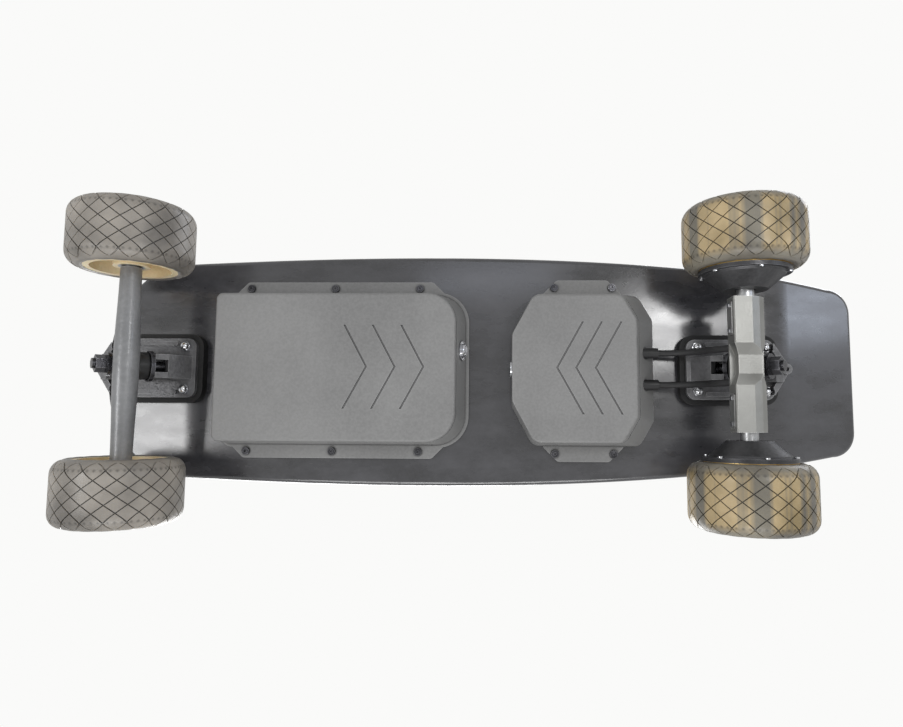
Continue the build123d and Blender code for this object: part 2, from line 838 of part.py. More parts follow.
first_bearing = wheel_inner + bearing_inset
second_bearing = first_bearing + bearing_spacing
hub_end = second_bearing + bearing_width
web_from = (wheel_inner + wheel_outer) / 2 - 5
rim_wall = 5.0
hub_boss = bearing_radius + 4


def make_front_hub(side):
    """Cast core: a rim under the tyre, a web, and a boss with two bearing seats."""
    seat = bearing_radius + seat_gap
    rim = core_radius - rim_wall
    web_to = web_from + 10
    with BuildPart() as hub:
        revolve(axle_profile(FRONT, side, [
            (wheel_inner + 1, rim), (wheel_inner + 1, core_radius),
            (wheel_outer - 1, core_radius), (wheel_outer - 1, rim),
            (web_to, rim - 2), (web_to, hub_boss + 2), (hub_end, hub_boss),
            (hub_end, seat), (second_bearing, seat), (second_bearing, bearing_radius - 3),
            (first_bearing + bearing_width, bearing_radius - 3),
            (first_bearing + bearing_width, seat), (first_bearing, seat),
            (first_bearing, hub_boss), (web_from, hub_boss + 2), (web_from, rim - 2),
        ]), axis=axle_axis(FRONT))
        # round windows through the web
        with BuildSketch(across_axle(FRONT, side, web_from - 1)):
            with PolarLocations((hub_boss + rim) / 2 + 0.5, 6):
                Circle(5.2)
        extrude(amount=12, mode=Mode.SUBTRACT)
    return hub.part


def make_front_bearings(side):
    with BuildPart() as bearings:
        for start in (first_bearing, second_bearing):
            ring_between(FRONT, side, start, start + bearing_width,
                         axle_radius + running_gap, bearing_radius)
    return bearings.part


for word, side in SIDES.items():
    save(make_tyre(FRONT, side), f"front_{word}_tyre")
    save(make_front_hub(side), f"front_{word}_hub")
    save(make_front_bearings(side), f"front_{word}_bearings")

axle_washer = 1.0
axle_nut_height = 6.5
with BuildPart() as axle_spacers:
    for side in SIDES.values():
        ring_between(FRONT, side, first_bearing + bearing_width + washer_gap,
                     second_bearing - washer_gap, axle_radius + seat_gap, axle_radius + 2)
        ring_between(FRONT, side, front_hanger_half, front_hanger_half + axle_washer,
                     axle_radius + seat_gap, axle_radius + 2.5)
        ring_between(FRONT, side, hub_end + washer_gap, hub_end + washer_gap + axle_washer,
                     axle_radius + seat_gap, axle_radius + 2.5)
save(axle_spacers.part, "axle_spacers_and_washers")

with BuildPart() as axle_nuts:
    for side in SIDES.values():
        with BuildSketch(across_axle(FRONT, side, hub_end + washer_gap + axle_washer)):
            RegularPolygon(7.5, 6)
            Circle(axle_radius + seat_gap, mode=Mode.SUBTRACT)
        extrude(amount=axle_nut_height)
save(axle_nuts.part, "axle_nuts")

# ---------------------------------------------------------------- rear hub motors
can_bore = core_radius - can_wall
magnet_out = can_bore - 0.8
magnet_in = magnet_out - magnet_thickness
stator_radius = magnet_in - air_gap
flange_end = wheel_inner - 0.5
flange_start = flange_end - flange_thickness
cone_end = flange_start - 2
outer_cover_start = wheel_outer - 3.0
motor_bearing_radius = 14.0
outer_bearing_radius = 12.0


def make_can(side):
    """Rotor can that the tyre is cast on."""
    with BuildPart() as can:
        ring_between(REAR, side, flange_end, outer_cover_start, can_bore, core_radius)
    return can.part


def make_magnets(side):
    with BuildPart() as magnets:
        with BuildSketch(across_axle(REAR, side, stack_start)):
            with PolarLocations((magnet_in + magnet_out) / 2, magnet_count):
                Rectangle(magnet_thickness, magnet_width)
        extrude(amount=stack_end - stack_start)
    return magnets.part


def make_inner_cover(side):
    """Cone between the hanger and the wheel, with a bolted flange and a bearing seat."""
    seat = motor_bearing_radius + seat_gap
    bearing_end = motor_inner_bearing + motor_bearing_width
    big = core_radius - 3
    with BuildPart() as cover:
        revolve(axle_profile(REAR, side, [
            (cone_start, stub_radius + 1), (cone_start, cone_small_radius),
            (cone_end, big - 2), (flange_start, big - 1), (flange_start, core_radius + 0.5),
            (flange_end, core_radius + 0.5), (flange_end, big - 4),
            (bearing_end, cone_small_radius), (bearing_end, seat),
            (motor_inner_bearing, seat), (motor_inner_bearing, stub_radius + 1),
        ]), axis=axle_axis(REAR))
        with BuildSketch(across_axle(REAR, side, flange_start)):
            with PolarLocations(core_radius - 1.9, 6, start_angle=30):
                Circle(1.3)
        extrude(amount=flange_thickness, mode=Mode.SUBTRACT)
    return cover.part


def make_cover_screws(side):
    with BuildPart() as cover_screws:
        with BuildSketch(across_axle(REAR, side, flange_start)):
            with PolarLocations(core_radius - 1.9, 6, start_angle=30):
                Circle(2.1)
        extrude(amount=-1.4)
        with BuildSketch(across_axle(REAR, side, flange_start)):
            with PolarLocations(core_radius - 1.9, 6, start_angle=30):
                Circle(1.25)
        extrude(amount=flange_thickness)
    return cover_screws.part


def make_outer_cover(side):
    """End plate with the outer bearing's seat."""
    seat = outer_bearing_radius + seat_gap
    with BuildPart() as cover:
        revolve(axle_profile(REAR, side, [
            (outer_cover_start, core_radius), (outer_cover_start + 2.4, core_radius),
            (outer_cover_start + 2.4, 4), (outer_cover_start + 0.4, 4),
            (outer_cover_start + 0.4, seat), (motor_outer_bearing, seat),
            (motor_outer_bearing, seat + 4), (outer_cover_start, seat + 6),
        ]), axis=axle_axis(REAR))
    return cover.part


def make_motor_bearings(side):
    with BuildPart() as bearings:
        ring_between(REAR, side, motor_inner_bearing, motor_inner_bearing + motor_bearing_width,
                     stub_radius + running_gap, motor_bearing_radius)
        ring_between(REAR, side, motor_outer_bearing, motor_outer_bearing + motor_bearing_width,
                     stub_tip_radius + running_gap, outer_bearing_radius)
    return bearings.part


for word, side in SIDES.items():
    save(make_tyre(REAR, side), f"rear_{word}_tyre")
    save(make_can(side), f"rear_{word}_motor_can")
    save(make_magnets(side), f"rear_{word}_magnets")
    save(make_inner_cover(side), f"rear_{word}_inner_cover")
    save(make_cover_screws(side), f"rear_{word}_cover_screws")
    save(make_outer_cover(side), f"rear_{word}_outer_cover")
    save(make_motor_bearings(side), f"rear_{word}_bearings")

stator_hub = 13.0
tooth_width = 4.5
tooth_cap = 3.0
with BuildPart() as stators:
    for side in SIDES.values():
        with BuildSketch(across_axle(REAR, side, stack_start)):
            Circle(stator_radius)
            Circle(stator_radius - tooth_cap, mode=Mode.SUBTRACT)
            with PolarLocations(stator_radius, tooth_count, start_angle=180 / tooth_count):
                Rectangle(3 * tooth_cap, 2.2, mode=Mode.SUBTRACT)
            Circle(stator_hub)
            with PolarLocations((stator_hub + stator_radius - tooth_cap) / 2, tooth_count):
                Rectangle(stator_radius - tooth_cap - stator_hub + 2, tooth_width)
            Circle(stub_tip_radius + seat_gap, mode=Mode.SUBTRACT)
        extrude(amount=stack_end - stack_start)
save(stators.part, "motor_stators")

coil_wall = 1.2
coil_from = stator_hub + 2.5
coil_to = stator_radius - tooth_cap - 0.5
with BuildPart() as windings:
    for side in SIDES.values():
        with BuildSketch(across_axle(REAR, side, stack_start - coil_wall - 0.1)):
            with PolarLocations((coil_from + coil_to) / 2, tooth_count):
                Rectangle(coil_to - coil_from, tooth_width + 2 * coil_wall + 0.2)
        extrude(amount=stack_end - stack_start + 2 * coil_wall + 0.2)
        with BuildSketch(across_axle(REAR, side, stack_start - 0.1)):
            with PolarLocations((coil_from + coil_to) / 2, tooth_count):
                Rectangle(coil_to - coil_from + 2, tooth_width + 0.2)
        extrude(amount=stack_end - stack_start + 0.2, mode=Mode.SUBTRACT)
save(windings.part, "motor_windings")


# ---------------------------------------------------------------- boxes under the deck
def rounded_outline(z, points, radii, inset=0.0):
    """Polygon with its own radius at each corner, on a level plane."""
    with BuildSketch(Plane.XY.offset(z)) as shape:
        with BuildLine():
            Polyline(*points, close=True)
        make_face()
        for point, radius in zip(points, radii):
            corner = shape.vertices().sort_by_distance((*point, z))[0]
            fillet(corner, radius=radius)
        if inset:
            offset(amount=-inset, mode=Mode.REPLACE)
    return shape.sketch


def battery_outline(rear_grow, side_grow):
    """Corners of the battery box: square in front, round behind."""
    y = battery_half_width + side_grow
    rear = battery_rear - rear_grow
    corners = [(battery_front, y), (rear, y), (rear, -y), (battery_front, -y)]
    return corners, [6, battery_corner, battery_corner, 6]


def esc_outline(rear_grow, side_grow):
    """Corners of the controller box: eight-sided, with long front corners."""
    y = esc_half_width + side_grow
    rear = esc_rear - rear_grow
    half = [(esc_front, y - 38), (esc_front - 20, y), (rear + 14, y), (rear, y - 24)]
    points = half + [(x, -y) for x, y in reversed(half)]
    return points, [10, 12, 10, 10, 10, 10, 12, 10]


def flange_outline(rear, front, half_width):
    """Plan of a flange whose ends slant in to the walls."""
    inner = half_width - flange_slant
    with BuildSketch(Plane.XY.offset(box_top)) as flange:
        with BuildLine():
            Polyline(
                (rear, inner), (rear + flange_slant, half_width),
                (front - flange_slant, half_width), (front, inner),
                (front, -inner), (front - flange_slant, -half_width),
                (rear + flange_slant, -half_width), (rear, -inner), close=True,
            )
        make_face()
        fillet(flange.vertices(), radius=5)
    return flange.sketch


def seam_ring(lid_z, outline_at, rear_slope, side_slope):
    """Ring that cuts the seam round a box's walls, a little above its lid."""
    share = seam_height / (box_top - lid_z)
    shape = outline_at(rear_slope * share, side_slope * share)
    z = lid_z + seam_height
    return (rounded_outline(z, *shape, inset=-flange_lip)
            - rounded_outline(z, *shape, inset=seam_depth))


def arrow_mark(tip_x, end_x, half_height, stroke):
    """A plain arrow made of two thin strokes."""
    with BuildLine() as mark:
        Polyline((tip_x, 0), (end_x, half_height), (end_x + stroke, half_height),
                 (tip_x + stroke, 0), (end_x + stroke, -half_height), (end_x, -half_height),
                 close=True)
    make_face(mark.edges())


box_top = deck_z - gasket_thickness
battery_lid_z = deck_z - battery_depth
esc_lid_z = deck_z - esc_depth

wall_slope = atan2(battery_rear_slope, box_top - battery_lid_z)
button_z = deck_z - button_drop
button_wall_x = battery_rear - battery_rear_slope * (button_z - battery_lid_z) / (
    box_top - battery_lid_z)
# Plane on the battery box's rear wall, facing out of it.
button_plane = Plane((button_wall_x, button_y, button_z), x_dir=(0, 1, 0),
                     z_dir=(-cos(wall_slope), 0, -sin(wall_slope)))
bezel_radius = button_radius + 2.5

with BuildPart() as battery_box:
    wide = battery_outline(battery_rear_slope, battery_side_slope)
    narrow = battery_outline(0, 0)
    loft([rounded_outline(box_top, *wide), rounded_outline(battery_lid_z, *narrow)])
    fillet(battery_box.faces().sort_by(Axis.Z)[0].edges(), radius=lid_edge_round)
    extrude(seam_ring(battery_lid_z, battery_outline, battery_rear_slope, battery_side_slope),
            amount=seam_width, mode=Mode.SUBTRACT)
    extrude(flange_outline(battery_rear + battery_flange_in[0],
                           battery_front - battery_flange_in[1], battery_flange_half),
            amount=-flange_height)
    extrude(rounded_outline(box_top, *wide, inset=-flange_lip), amount=-flange_height)
    loft([rounded_outline(box_top, *wide, inset=box_wall),
          rounded_outline(battery_lid_z + box_wall, *narrow, inset=box_wall)],
         mode=Mode.SUBTRACT)
    with BuildSketch(Plane.XY.offset(box_top)):
        with Locations(*[(x, s * battery_screw_y) for x in battery_screw_x for s in (1, -1)]):
            Circle(box_screw_radius + 0.15)
    extrude(amount=-flange_height, mode=Mode.SUBTRACT)
    with BuildSketch(Plane.XY.offset(battery_lid_z)):
        for tip in battery_mark_tips:
            arrow_mark(battery_rear + tip, battery_rear + tip + 21, 39, mark_stroke)
    extrude(amount=mark_depth, mode=Mode.SUBTRACT)
    with BuildSketch(button_plane.offset(-2 * box_wall)):
        Circle(bezel_radius - 1.5)
    extrude(amount=4 * box_wall, mode=Mode.SUBTRACT)
save(battery_box.part, "battery_box")

port_z = deck_z - 16.0
port_plane = Plane((esc_front, 0, port_z), x_dir=(0, 1, 0), z_dir=(1, 0, 0))
gland_plane = Plane((rear_x - cable_route[0][0], 0, mount_z + cable_route[0][1]),
                    x_dir=(0, 1, 0), z_dir=(-1, 0, 0))
gland_radius = cable_radius + 2
gland_length = 20.0

with BuildPart() as esc_box:
    wide = esc_outline(esc_rear_slope, esc_side_slope)
    narrow = esc_outline(0, 0)
    loft([rounded_outline(box_top, *wide), rounded_outline(esc_lid_z, *narrow)])
    fillet(esc_box.faces().sort_by(Axis.Z)[0].edges(), radius=lid_edge_round)
    with BuildSketch(Plane.XZ):
        with BuildLine():
            Polyline(
                (esc_front - esc_facet_length, esc_lid_z), (esc_front, esc_lid_z + esc_facet_drop),
                (esc_front + 1, esc_lid_z + esc_facet_drop), (esc_front + 1, esc_lid_z - 1),
                (esc_front - esc_facet_length, esc_lid_z - 1), close=True,
            )
        make_face()
    extrude(amount=esc_half_width, both=True, mode=Mode.SUBTRACT)
    extrude(seam_ring(esc_lid_z, esc_outline, esc_rear_slope, esc_side_slope),
            amount=seam_width, mode=Mode.SUBTRACT)
    extrude(flange_outline(esc_rear + esc_flange_in[0], esc_front - esc_flange_in[1],
                           esc_flange_half), amount=-flange_height)
    loft([rounded_outline(box_top, *wide, inset=box_wall),
          rounded_outline(esc_lid_z + box_wall, *narrow, inset=box_wall)],
         mode=Mode.SUBTRACT)
    with BuildSketch(Plane.XY.offset(box_top)):
        with Locations(*[(x, s * esc_screw_y) for x in esc_screw_x for s in (1, -1)]):
            Circle(box_screw_radius + 0.15)
    extrude(amount=-flange_height, mode=Mode.SUBTRACT)
    with BuildSketch(Plane.XY.offset(esc_lid_z)):
        for tip in esc_mark_tips:
            arrow_mark(esc_front - tip, esc_front - tip - 24, 43, -mark_stroke)
    extrude(amount=mark_depth, mode=Mode.SUBTRACT)
    with BuildSketch(port_plane.offset(-2 * box_wall)):
        Circle(port_radius + 2)
    extrude(amount=4 * box_wall, mode=Mode.SUBTRACT)
    with BuildSketch(gland_plane.offset(-2)):
        with Locations((cable_y, 0), (-cable_y, 0)):
            Circle(gland_radius + seat_gap)
    extrude(amount=-gland_length - 4, mode=Mode.SUBTRACT)
save(esc_box.part, "esc_box")

gasket_width = box_wall + 2.5
with BuildPart() as gaskets:
    for shape in (battery_outline(battery_rear_slope, battery_side_slope),
                  esc_outline(esc_rear_slope, esc_side_slope)):
        extrude(rounded_outline(box_top, *shape), amount=gasket_thickness)
        extrude(rounded_outline(box_top, *shape, inset=gasket_width),
                amount=gasket_thickness, mode=Mode.SUBTRACT)
save(gaskets.part, "box_gaskets")

with BuildPart() as enclosure_screws:
    low = box_top - flange_height
    with BuildSketch(Plane.XY.offset(low)):
        with Locations(*box_screws):
            Circle(box_screw_radius)
    extrude(amount=box_screw_length)
    with BuildSketch(Plane.XY.offset(low)):
        with Locations(*box_screws):
            Circle(box_screw_head)
    extrude(amount=-2.2)
    with BuildSketch(Plane.XY.offset(low - 2.2)):
        with Locations(*box_screws):
            RegularPolygon(1.5, 6)
    extrude(amount=1.4, mode=Mode.SUBTRACT)
save(enclosure_screws.part, "enclosure_screws")

# ---------------------------------------------------------------- button, port and glands
with BuildPart() as button_housing:
    with BuildSketch(button_plane):
        Circle(bezel_radius)
    extrude(amount=1.6)
    with BuildSketch(button_plane):
        Circle(bezel_radius - 1.6)
    extrude(amount=-4 * box_wall)
    with BuildSketch(button_plane.offset(1.6)):
        Circle(button_radius + 0.25)
    extrude(amount=-1.6 - button_depth - button_travel - 0.5, mode=Mode.SUBTRACT)
save(button_housing.part, "button_housing")

with BuildPart() as button:
    with BuildSketch(button_plane.offset(-button_depth)):
        Circle(button_radius)
    extrude(amount=button_depth + button_proud)
    chamfer(button.edges().filter_by(GeomType.CIRCLE).sort_by(Axis.X)[0], length=0.8)
save(button.part, "power_button")

with BuildPart() as port:
    with BuildSketch(port_plane):
        Circle(port_radius + 3)
    extrude(amount=1.5)
    with BuildSketch(port_plane):
        Circle(port_radius + 1.9)
    extrude(amount=-port_depth)
    with BuildSketch(port_plane.offset(1.5)):
        Circle(port_radius)
    extrude(amount=-port_depth, mode=Mode.SUBTRACT)
save(port.part, "charge_port")

with BuildPart() as glands:
    with BuildSketch(gland_plane.offset(-1)):
        with Locations((cable_y, 0), (-cable_y, 0)):
            Circle(gland_radius)
            Circle(cable_radius + seat_gap, mode=Mode.SUBTRACT)
    extrude(amount=-gland_length)
save(glands.part, "cable_glands")


# ---------------------------------------------------------------- motor cables
def bend_radii(route):
    """Arc at each corner: 0.45 of the shorter run over the tangent of half the turn."""
    radii = []
    for before, here, after in zip(route, route[1:], route[2:]):
        first = Vector(here[0] - before[0], here[1] - before[1])
        second = Vector(after[0] - here[0], after[1] - here[1])
        turn = radians(first.get_angle(second))
        radii.append(0.45 * min(first.length, second.length) / tan(turn / 2))
    return radii


print("motor cable radii", [round(r, 1) for r in bend_radii(cable_route)])
gland_mouth = (cable_route[0][0] - gland_length + 2, cable_route[0][1])
with BuildPart() as cables:
    for side in SIDES.values():
        with BuildLine(plate_side(REAR)) as path:
            FilletPolyline(*cable_route, radius=bend_radii(cable_route))
        middle = path.wires()[0].moved(Location((0, side * cable_y, 0)))
        start = middle @ 0
        with BuildSketch(Plane(start, z_dir=middle % 0)) as section:
            Circle(cable_radius)
        sweep(section.sketch, path=middle)
        with BuildSketch(Plane(start, z_dir=(1, 0, 0))):
            Circle(cable_radius)
        extrude(amount=gland_length - 2)
    cable_length = middle.length + gland_length - 2
save(cables.part, "motor_cables")
print("motor cable length", round(cable_length, 1), "volume",
      round(cables.part.volume / 2 / (pi * cable_radius ** 2), 1))

# ---------------------------------------------------------------- inside the boxes
cell_gap = 0.5
cell_z = battery_lid_z + box_wall + 3 + cell_radius
cell_margin = 4.0
row_gap = 2.0
pack_front = battery_front - box_wall - cell_margin
room = pack_front - battery_rear - box_wall - cell_margin
cell_rows = int((room + row_gap) // (cell_length + row_gap))
cells_across = 7
pitch = 2 * cell_radius + cell_gap
with BuildPart() as cells:
    for row in range(cell_rows):
        x = pack_front - cell_length - row * (cell_length + row_gap)
        count = cells_across if row < cell_rows - 1 else cells_across - 1
        with BuildSketch(Plane((x, 0, cell_z), x_dir=(0, 1, 0), z_dir=(1, 0, 0))):
            with Locations(*[((i - (count - 1) / 2) * pitch, 0) for i in range(count)]):
                Circle(cell_radius)
        extrude(amount=cell_length)
save(cells.part, "battery_cells")

pack_rear = pack_front - cell_rows * (cell_length + row_gap) + row_gap
pack_half = (cells_across - 1) / 2 * pitch + cell_radius
with BuildPart() as cell_tray:
    with BuildSketch(Plane.XY.offset(battery_lid_z + box_wall)):
        with Locations(((pack_front + pack_rear) / 2, 0)):
            Rectangle(pack_front - pack_rear, 2 * pack_half - 2 * cell_margin)
    extrude(amount=2.9)
save(cell_tray.part, "cell_tray")

with BuildPart() as battery_board:
    with BuildSketch(Plane.XY.offset(cell_z + cell_radius + 0.2)):
        with Locations((battery_front - 60, 0)):
            Rectangle(80, 60)
    extrude(amount=1.6)
    with BuildSketch(Plane.XY.offset(cell_z + cell_radius + 1.8)):
        with Locations((battery_front - 60, 0)):
            with GridLocations(14, 16, 5, 3):
                Rectangle(8, 10)
    extrude(amount=2)
save(battery_board.part, "battery_board")

board_z = esc_lid_z + box_wall + 3
with BuildPart() as heat_plate:
    with BuildSketch(Plane.XY.offset(esc_lid_z + box_wall)):
        with Locations(((esc_front + esc_rear) / 2, 0)):
            Rectangle(80, 90)
    extrude(amount=2.9)
save(heat_plate.part, "heat_plate")

with BuildPart() as controller:
    with BuildSketch(Plane.XY.offset(board_z)):
        with Locations(((esc_front + esc_rear) / 2, 0)):
            Rectangle(84, 96)
    extrude(amount=1.6)
    with BuildSketch(Plane.XY.offset(board_z + 1.6)):
        with Locations(((esc_front + esc_rear) / 2, 0)):
            with GridLocations(12, 26, 6, 3):
                Rectangle(8, 10)
    extrude(amount=3)
save(controller.part, "controller_board")

with BuildPart() as capacitors:
    with BuildSketch(Plane.XY.offset(board_z + 1.6)):
        with Locations(((esc_front + esc_rear) / 2, 0)):
            with GridLocations(22, 26, 3, 2):
                Circle(5)
    extrude(amount=14)
save(capacitors.part, "capacitors")
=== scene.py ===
import json
import math

import bpy
from mathutils import Matrix, Vector


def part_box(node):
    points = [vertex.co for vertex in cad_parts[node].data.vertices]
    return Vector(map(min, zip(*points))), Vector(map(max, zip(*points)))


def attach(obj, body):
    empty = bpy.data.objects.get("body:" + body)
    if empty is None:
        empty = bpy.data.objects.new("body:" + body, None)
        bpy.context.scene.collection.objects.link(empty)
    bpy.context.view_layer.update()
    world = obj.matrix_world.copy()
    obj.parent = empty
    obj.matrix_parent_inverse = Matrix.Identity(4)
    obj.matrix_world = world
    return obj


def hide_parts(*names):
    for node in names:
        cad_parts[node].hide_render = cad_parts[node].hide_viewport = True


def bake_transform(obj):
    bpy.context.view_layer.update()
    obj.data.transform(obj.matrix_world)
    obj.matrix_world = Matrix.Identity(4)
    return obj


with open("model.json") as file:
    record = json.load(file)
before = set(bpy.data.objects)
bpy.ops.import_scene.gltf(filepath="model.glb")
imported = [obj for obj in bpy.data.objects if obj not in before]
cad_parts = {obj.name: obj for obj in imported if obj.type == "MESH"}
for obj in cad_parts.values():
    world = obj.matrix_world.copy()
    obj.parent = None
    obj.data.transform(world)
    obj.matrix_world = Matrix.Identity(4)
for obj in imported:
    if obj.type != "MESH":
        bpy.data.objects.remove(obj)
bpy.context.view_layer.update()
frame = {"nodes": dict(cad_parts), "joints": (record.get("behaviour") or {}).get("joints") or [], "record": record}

# Electric skateboard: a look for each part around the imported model. Metres, +X to the nose,
# +Y to the rider's left, +Z up, the ground at 0.
MM = 0.001
MIX_A, MIX_B, MIX_OUT = 6, 7, 2     # the colour sockets of a Mix node
SIDES = {"left": 1, "right": -1}

scene = bpy.context.scene
scene.view_settings.view_transform = "Standard"


# ---------------------------------------------------------------- making nodes
def linear(code):
    """An sRGB hex colour as linear red, green, blue and alpha."""
    parts = [int(code[i:i + 2], 16) / 255 for i in (1, 3, 5)]
    return (*[c / 12.92 if c <= 0.04045 else ((c + 0.055) / 1.055) ** 2.4 for c in parts], 1)


def add(tree, kind, inputs=None, **settings):
    """Adds a node: settings are its own, and inputs are its sockets' values or links."""
    node = tree.nodes.new("ShaderNode" + kind)
    for key, value in settings.items():
        setattr(node, key, value)
    for key, value in (inputs or {}).items():
        if isinstance(value, bpy.types.NodeSocket):
            tree.links.new(value, node.inputs[key])
        else:
            node.inputs[key].default_value = value
    return node


def start_finish(name, **sockets):
    """A new material with its shader's own numbers set: (material, tree, shader, place)."""
    material = bpy.data.materials.new(name)
    material.use_nodes = True
    tree = material.node_tree
    shader = tree.nodes["Principled BSDF"]
    for socket, value in sockets.items():
        shader.inputs[socket.replace("_", " ")].default_value = value
    return material, tree, shader, add(tree, "TexCoord").outputs["Object"]


def blotches(tree, place, size, detail=3, rough=0.5):
    """Soft random patches about that many metres across, from 0 to 1."""
    noise = add(tree, "TexNoise", {"Vector": place, "Scale": 0.5 / size, "Detail": detail,
                                   "Roughness": rough}).outputs["Fac"]
    return add(tree, "MapRange", {"Value": noise, "From Min": 0.35, "From Max": 0.65}).outputs[0]


def between(tree, share, low, high):
    """A number that goes from low to high with share."""
    return add(tree, "MapRange", {"Value": share, "To Min": low, "To Max": high}).outputs[0]


def blend_colours(tree, share, first, second, kind="MIX"):
    """first where share is 0 and second where it is 1; each is a hex colour or a socket."""
    first, second = [linear(c) if isinstance(c, str) else c for c in (first, second)]
    mix = add(tree, "Mix", {0: share, MIX_A: first, MIX_B: second}, data_type="RGBA",
              blend_type=kind)
    return mix.outputs[MIX_OUT]


def sums(tree, how, first, second=0.5, clamp=False):
    """One arithmetic step."""
    return add(tree, "Math", {0: first, 1: second}, operation=how, use_clamp=clamp).outputs[0]


def worn_edges(tree, radius):
    """1 on the sharp edges and 0 on the flats."""
    soft = add(tree, "Bevel", {"Radius": radius}, samples=4).outputs["Normal"]
    hard = add(tree, "NewGeometry").outputs["Normal"]
    alike = add(tree, "VectorMath", {0: soft, 1: hard}, operation="DOT_PRODUCT").outputs["Value"]
    return add(tree, "MapRange", {"Value": alike, "From Min": 0.995, "From Max": 0.86}).outputs[0]


def surface(tree, shader, colour, roughness, bump=None, depth=0.0, strength=1.0):
    """Joins the finished colour, roughness and relief to the shader."""
    tree.links.new(colour, shader.inputs["Base Color"])
    if roughness is not None:
        tree.links.new(roughness, shader.inputs["Roughness"])
    if bump is not None:
        relief = add(tree, "Bump", {"Height": bump, "Distance": depth, "Strength": strength})
        tree.links.new(relief.outputs["Normal"], shader.inputs["Normal"])


def plain_finish(name, dark, light, patch, grain, depth, rough, edge=None, edge_radius=0.8 * MM,
                 **sockets):
    """Two close tones in patches, a fine grain in relief, and lighter worn edges if wanted."""
    material, tree, shader, place = start_finish(name, **sockets)
    patches = blotches(tree, place, patch)
    specks = blotches(tree, place, grain, detail=2)
    tone = sums(tree, "ADD", sums(tree, "MULTIPLY", patches, 0.7),
                sums(tree, "MULTIPLY", specks, 0.3))
    colour = blend_colours(tree, tone, dark, light)
    if edge:
        wear = sums(tree, "MULTIPLY", worn_edges(tree, edge_radius),
                    between(tree, patches, 0.35, 0.9))
        colour = blend_colours(tree, wear, colour, edge)
    surface(tree, shader, colour, between(tree, tone, *rough), specks, depth)
    return material


# ---------------------------------------------------------------- the deck's lacquer
# Black lacquer sprayed on maple and polished: deep black, a clear glossy coat with a slight
# orange peel, and wiping marks that dull it in patches.
def make_lacquer():
    material, tree, shader, place = start_finish(
        "black_lacquer_on_maple", Coat_Weight=1.0, Coat_Roughness=0.15, Coat_IOR=1.5)
    wiped = add(tree, "Mapping", {"Vector": place, "Scale": (1, 2.4, 1)}).outputs[0]
    smears = blotches(tree, wiped, 34 * MM, detail=5, rough=0.6)
    dust = blotches(tree, place, 1.6 * MM, detail=2)
    colour = blend_colours(tree, smears, "#2b2b2e", "#3f3f43")
    colour = blend_colours(tree, sums(tree, "MULTIPLY", dust, 0.08), colour, "#5a5b60")
    peel = blotches(tree, place, 9 * MM, detail=2)
    surface(tree, shader, colour, between(tree, smears, 0.16, 0.42), peel, 0.12 * MM, 0.6)
    return material


# ---------------------------------------------------------------- the grip sheet
BOARD_HEX = 79 * MM          # the lone hexagon's centre to its corner
TRUCK_HEX = 51.5 * MM        # and each hexagon by the trucks
HEX_LINE = 2.2 * MM          # the bare line left between two hexagons
BOARD_HEX_AT = 7 * MM        # the lone hexagon's centre, ahead of the middle
NOSE_HEX_BEHIND = 57 * MM    # the innermost hexagon's centre, from each base plate's middle
TAIL_HEX_AHEAD = 1 * MM


def hexagon(tree, across, along, middle, size):
    """1 inside a hexagon whose corners point along the board, 0 outside."""
    dx = sums(tree, "ABSOLUTE", sums(tree, "SUBTRACT", along, middle[0]))
    dy = sums(tree, "ABSOLUTE", sums(tree, "SUBTRACT", across, middle[1]))
    slant = sums(tree, "ADD", sums(tree, "MULTIPLY", dx, math.cos(math.radians(30))),
                 sums(tree, "MULTIPLY", dy, 0.5))
    reach = sums(tree, "MAXIMUM", slant, dy)
    edge = size * math.cos(math.radians(30)) - HEX_LINE / 2
    return add(tree, "MapRange", {"Value": reach, "From Min": edge + 0.4 * MM,
                                  "From Max": edge - 0.4 * MM}).outputs[0]


# Silicon carbide grit glued to a paper sheet, printed with darker hexagons: matt, each grain a
# sparkle or a pit. Real grit is 0.3 mm, drawn at 0.9 mm so that it shows.
def make_grit():
    material, tree, shader, place = start_finish("printed_grit_sheet", Specular_IOR_Level=0.3)
    axes = add(tree, "SeparateXYZ", {0: place})
    plates = {end: sum(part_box(f"{end}_baseplate"), Vector()) / 2 for end in ("front", "rear")}
    centres = [((BOARD_HEX_AT, 0), BOARD_HEX)]
    for inward, first in ((-1, plates["front"].x - NOSE_HEX_BEHIND),
                          (1, plates["rear"].x + TAIL_HEX_AHEAD)):
        centres.append(((first, 0), TRUCK_HEX))
        aside = TRUCK_HEX * math.sin(math.radians(60))
        centres += [((first - inward * 1.5 * TRUCK_HEX, s * aside), TRUCK_HEX) for s in (1, -1)]
        centres.append(((first - inward * 3 * TRUCK_HEX, 0), TRUCK_HEX))
    printed = None
    for middle, size in centres:
        one = hexagon(tree, axes.outputs["Y"], axes.outputs["X"], middle, size)
        printed = one if printed is None else sums(tree, "MAXIMUM", printed, one)
    grit = add(tree, "TexVoronoi", {"Vector": place, "Scale": 1 / (0.9 * MM)})
    grain = grit.outputs["Distance"]
    shade = add(tree, "SeparateColor", {0: grit.outputs["Color"]}).outputs[0]
    cloud = blotches(tree, place, 60 * MM, detail=4)
    bare = blend_colours(tree, shade, "#75757b", "#a9a9b0")
    bare = blend_colours(tree, sums(tree, "MULTIPLY", cloud, 0.25), bare, "#8e8d99")
    ink = blend_colours(tree, shade, "#5c5d5a", "#8c8d89")
    surface(tree, shader, blend_colours(tree, printed, bare, ink),
            between(tree, shade, 0.7, 0.95), grain, 0.35 * MM, 0.7)
    return material


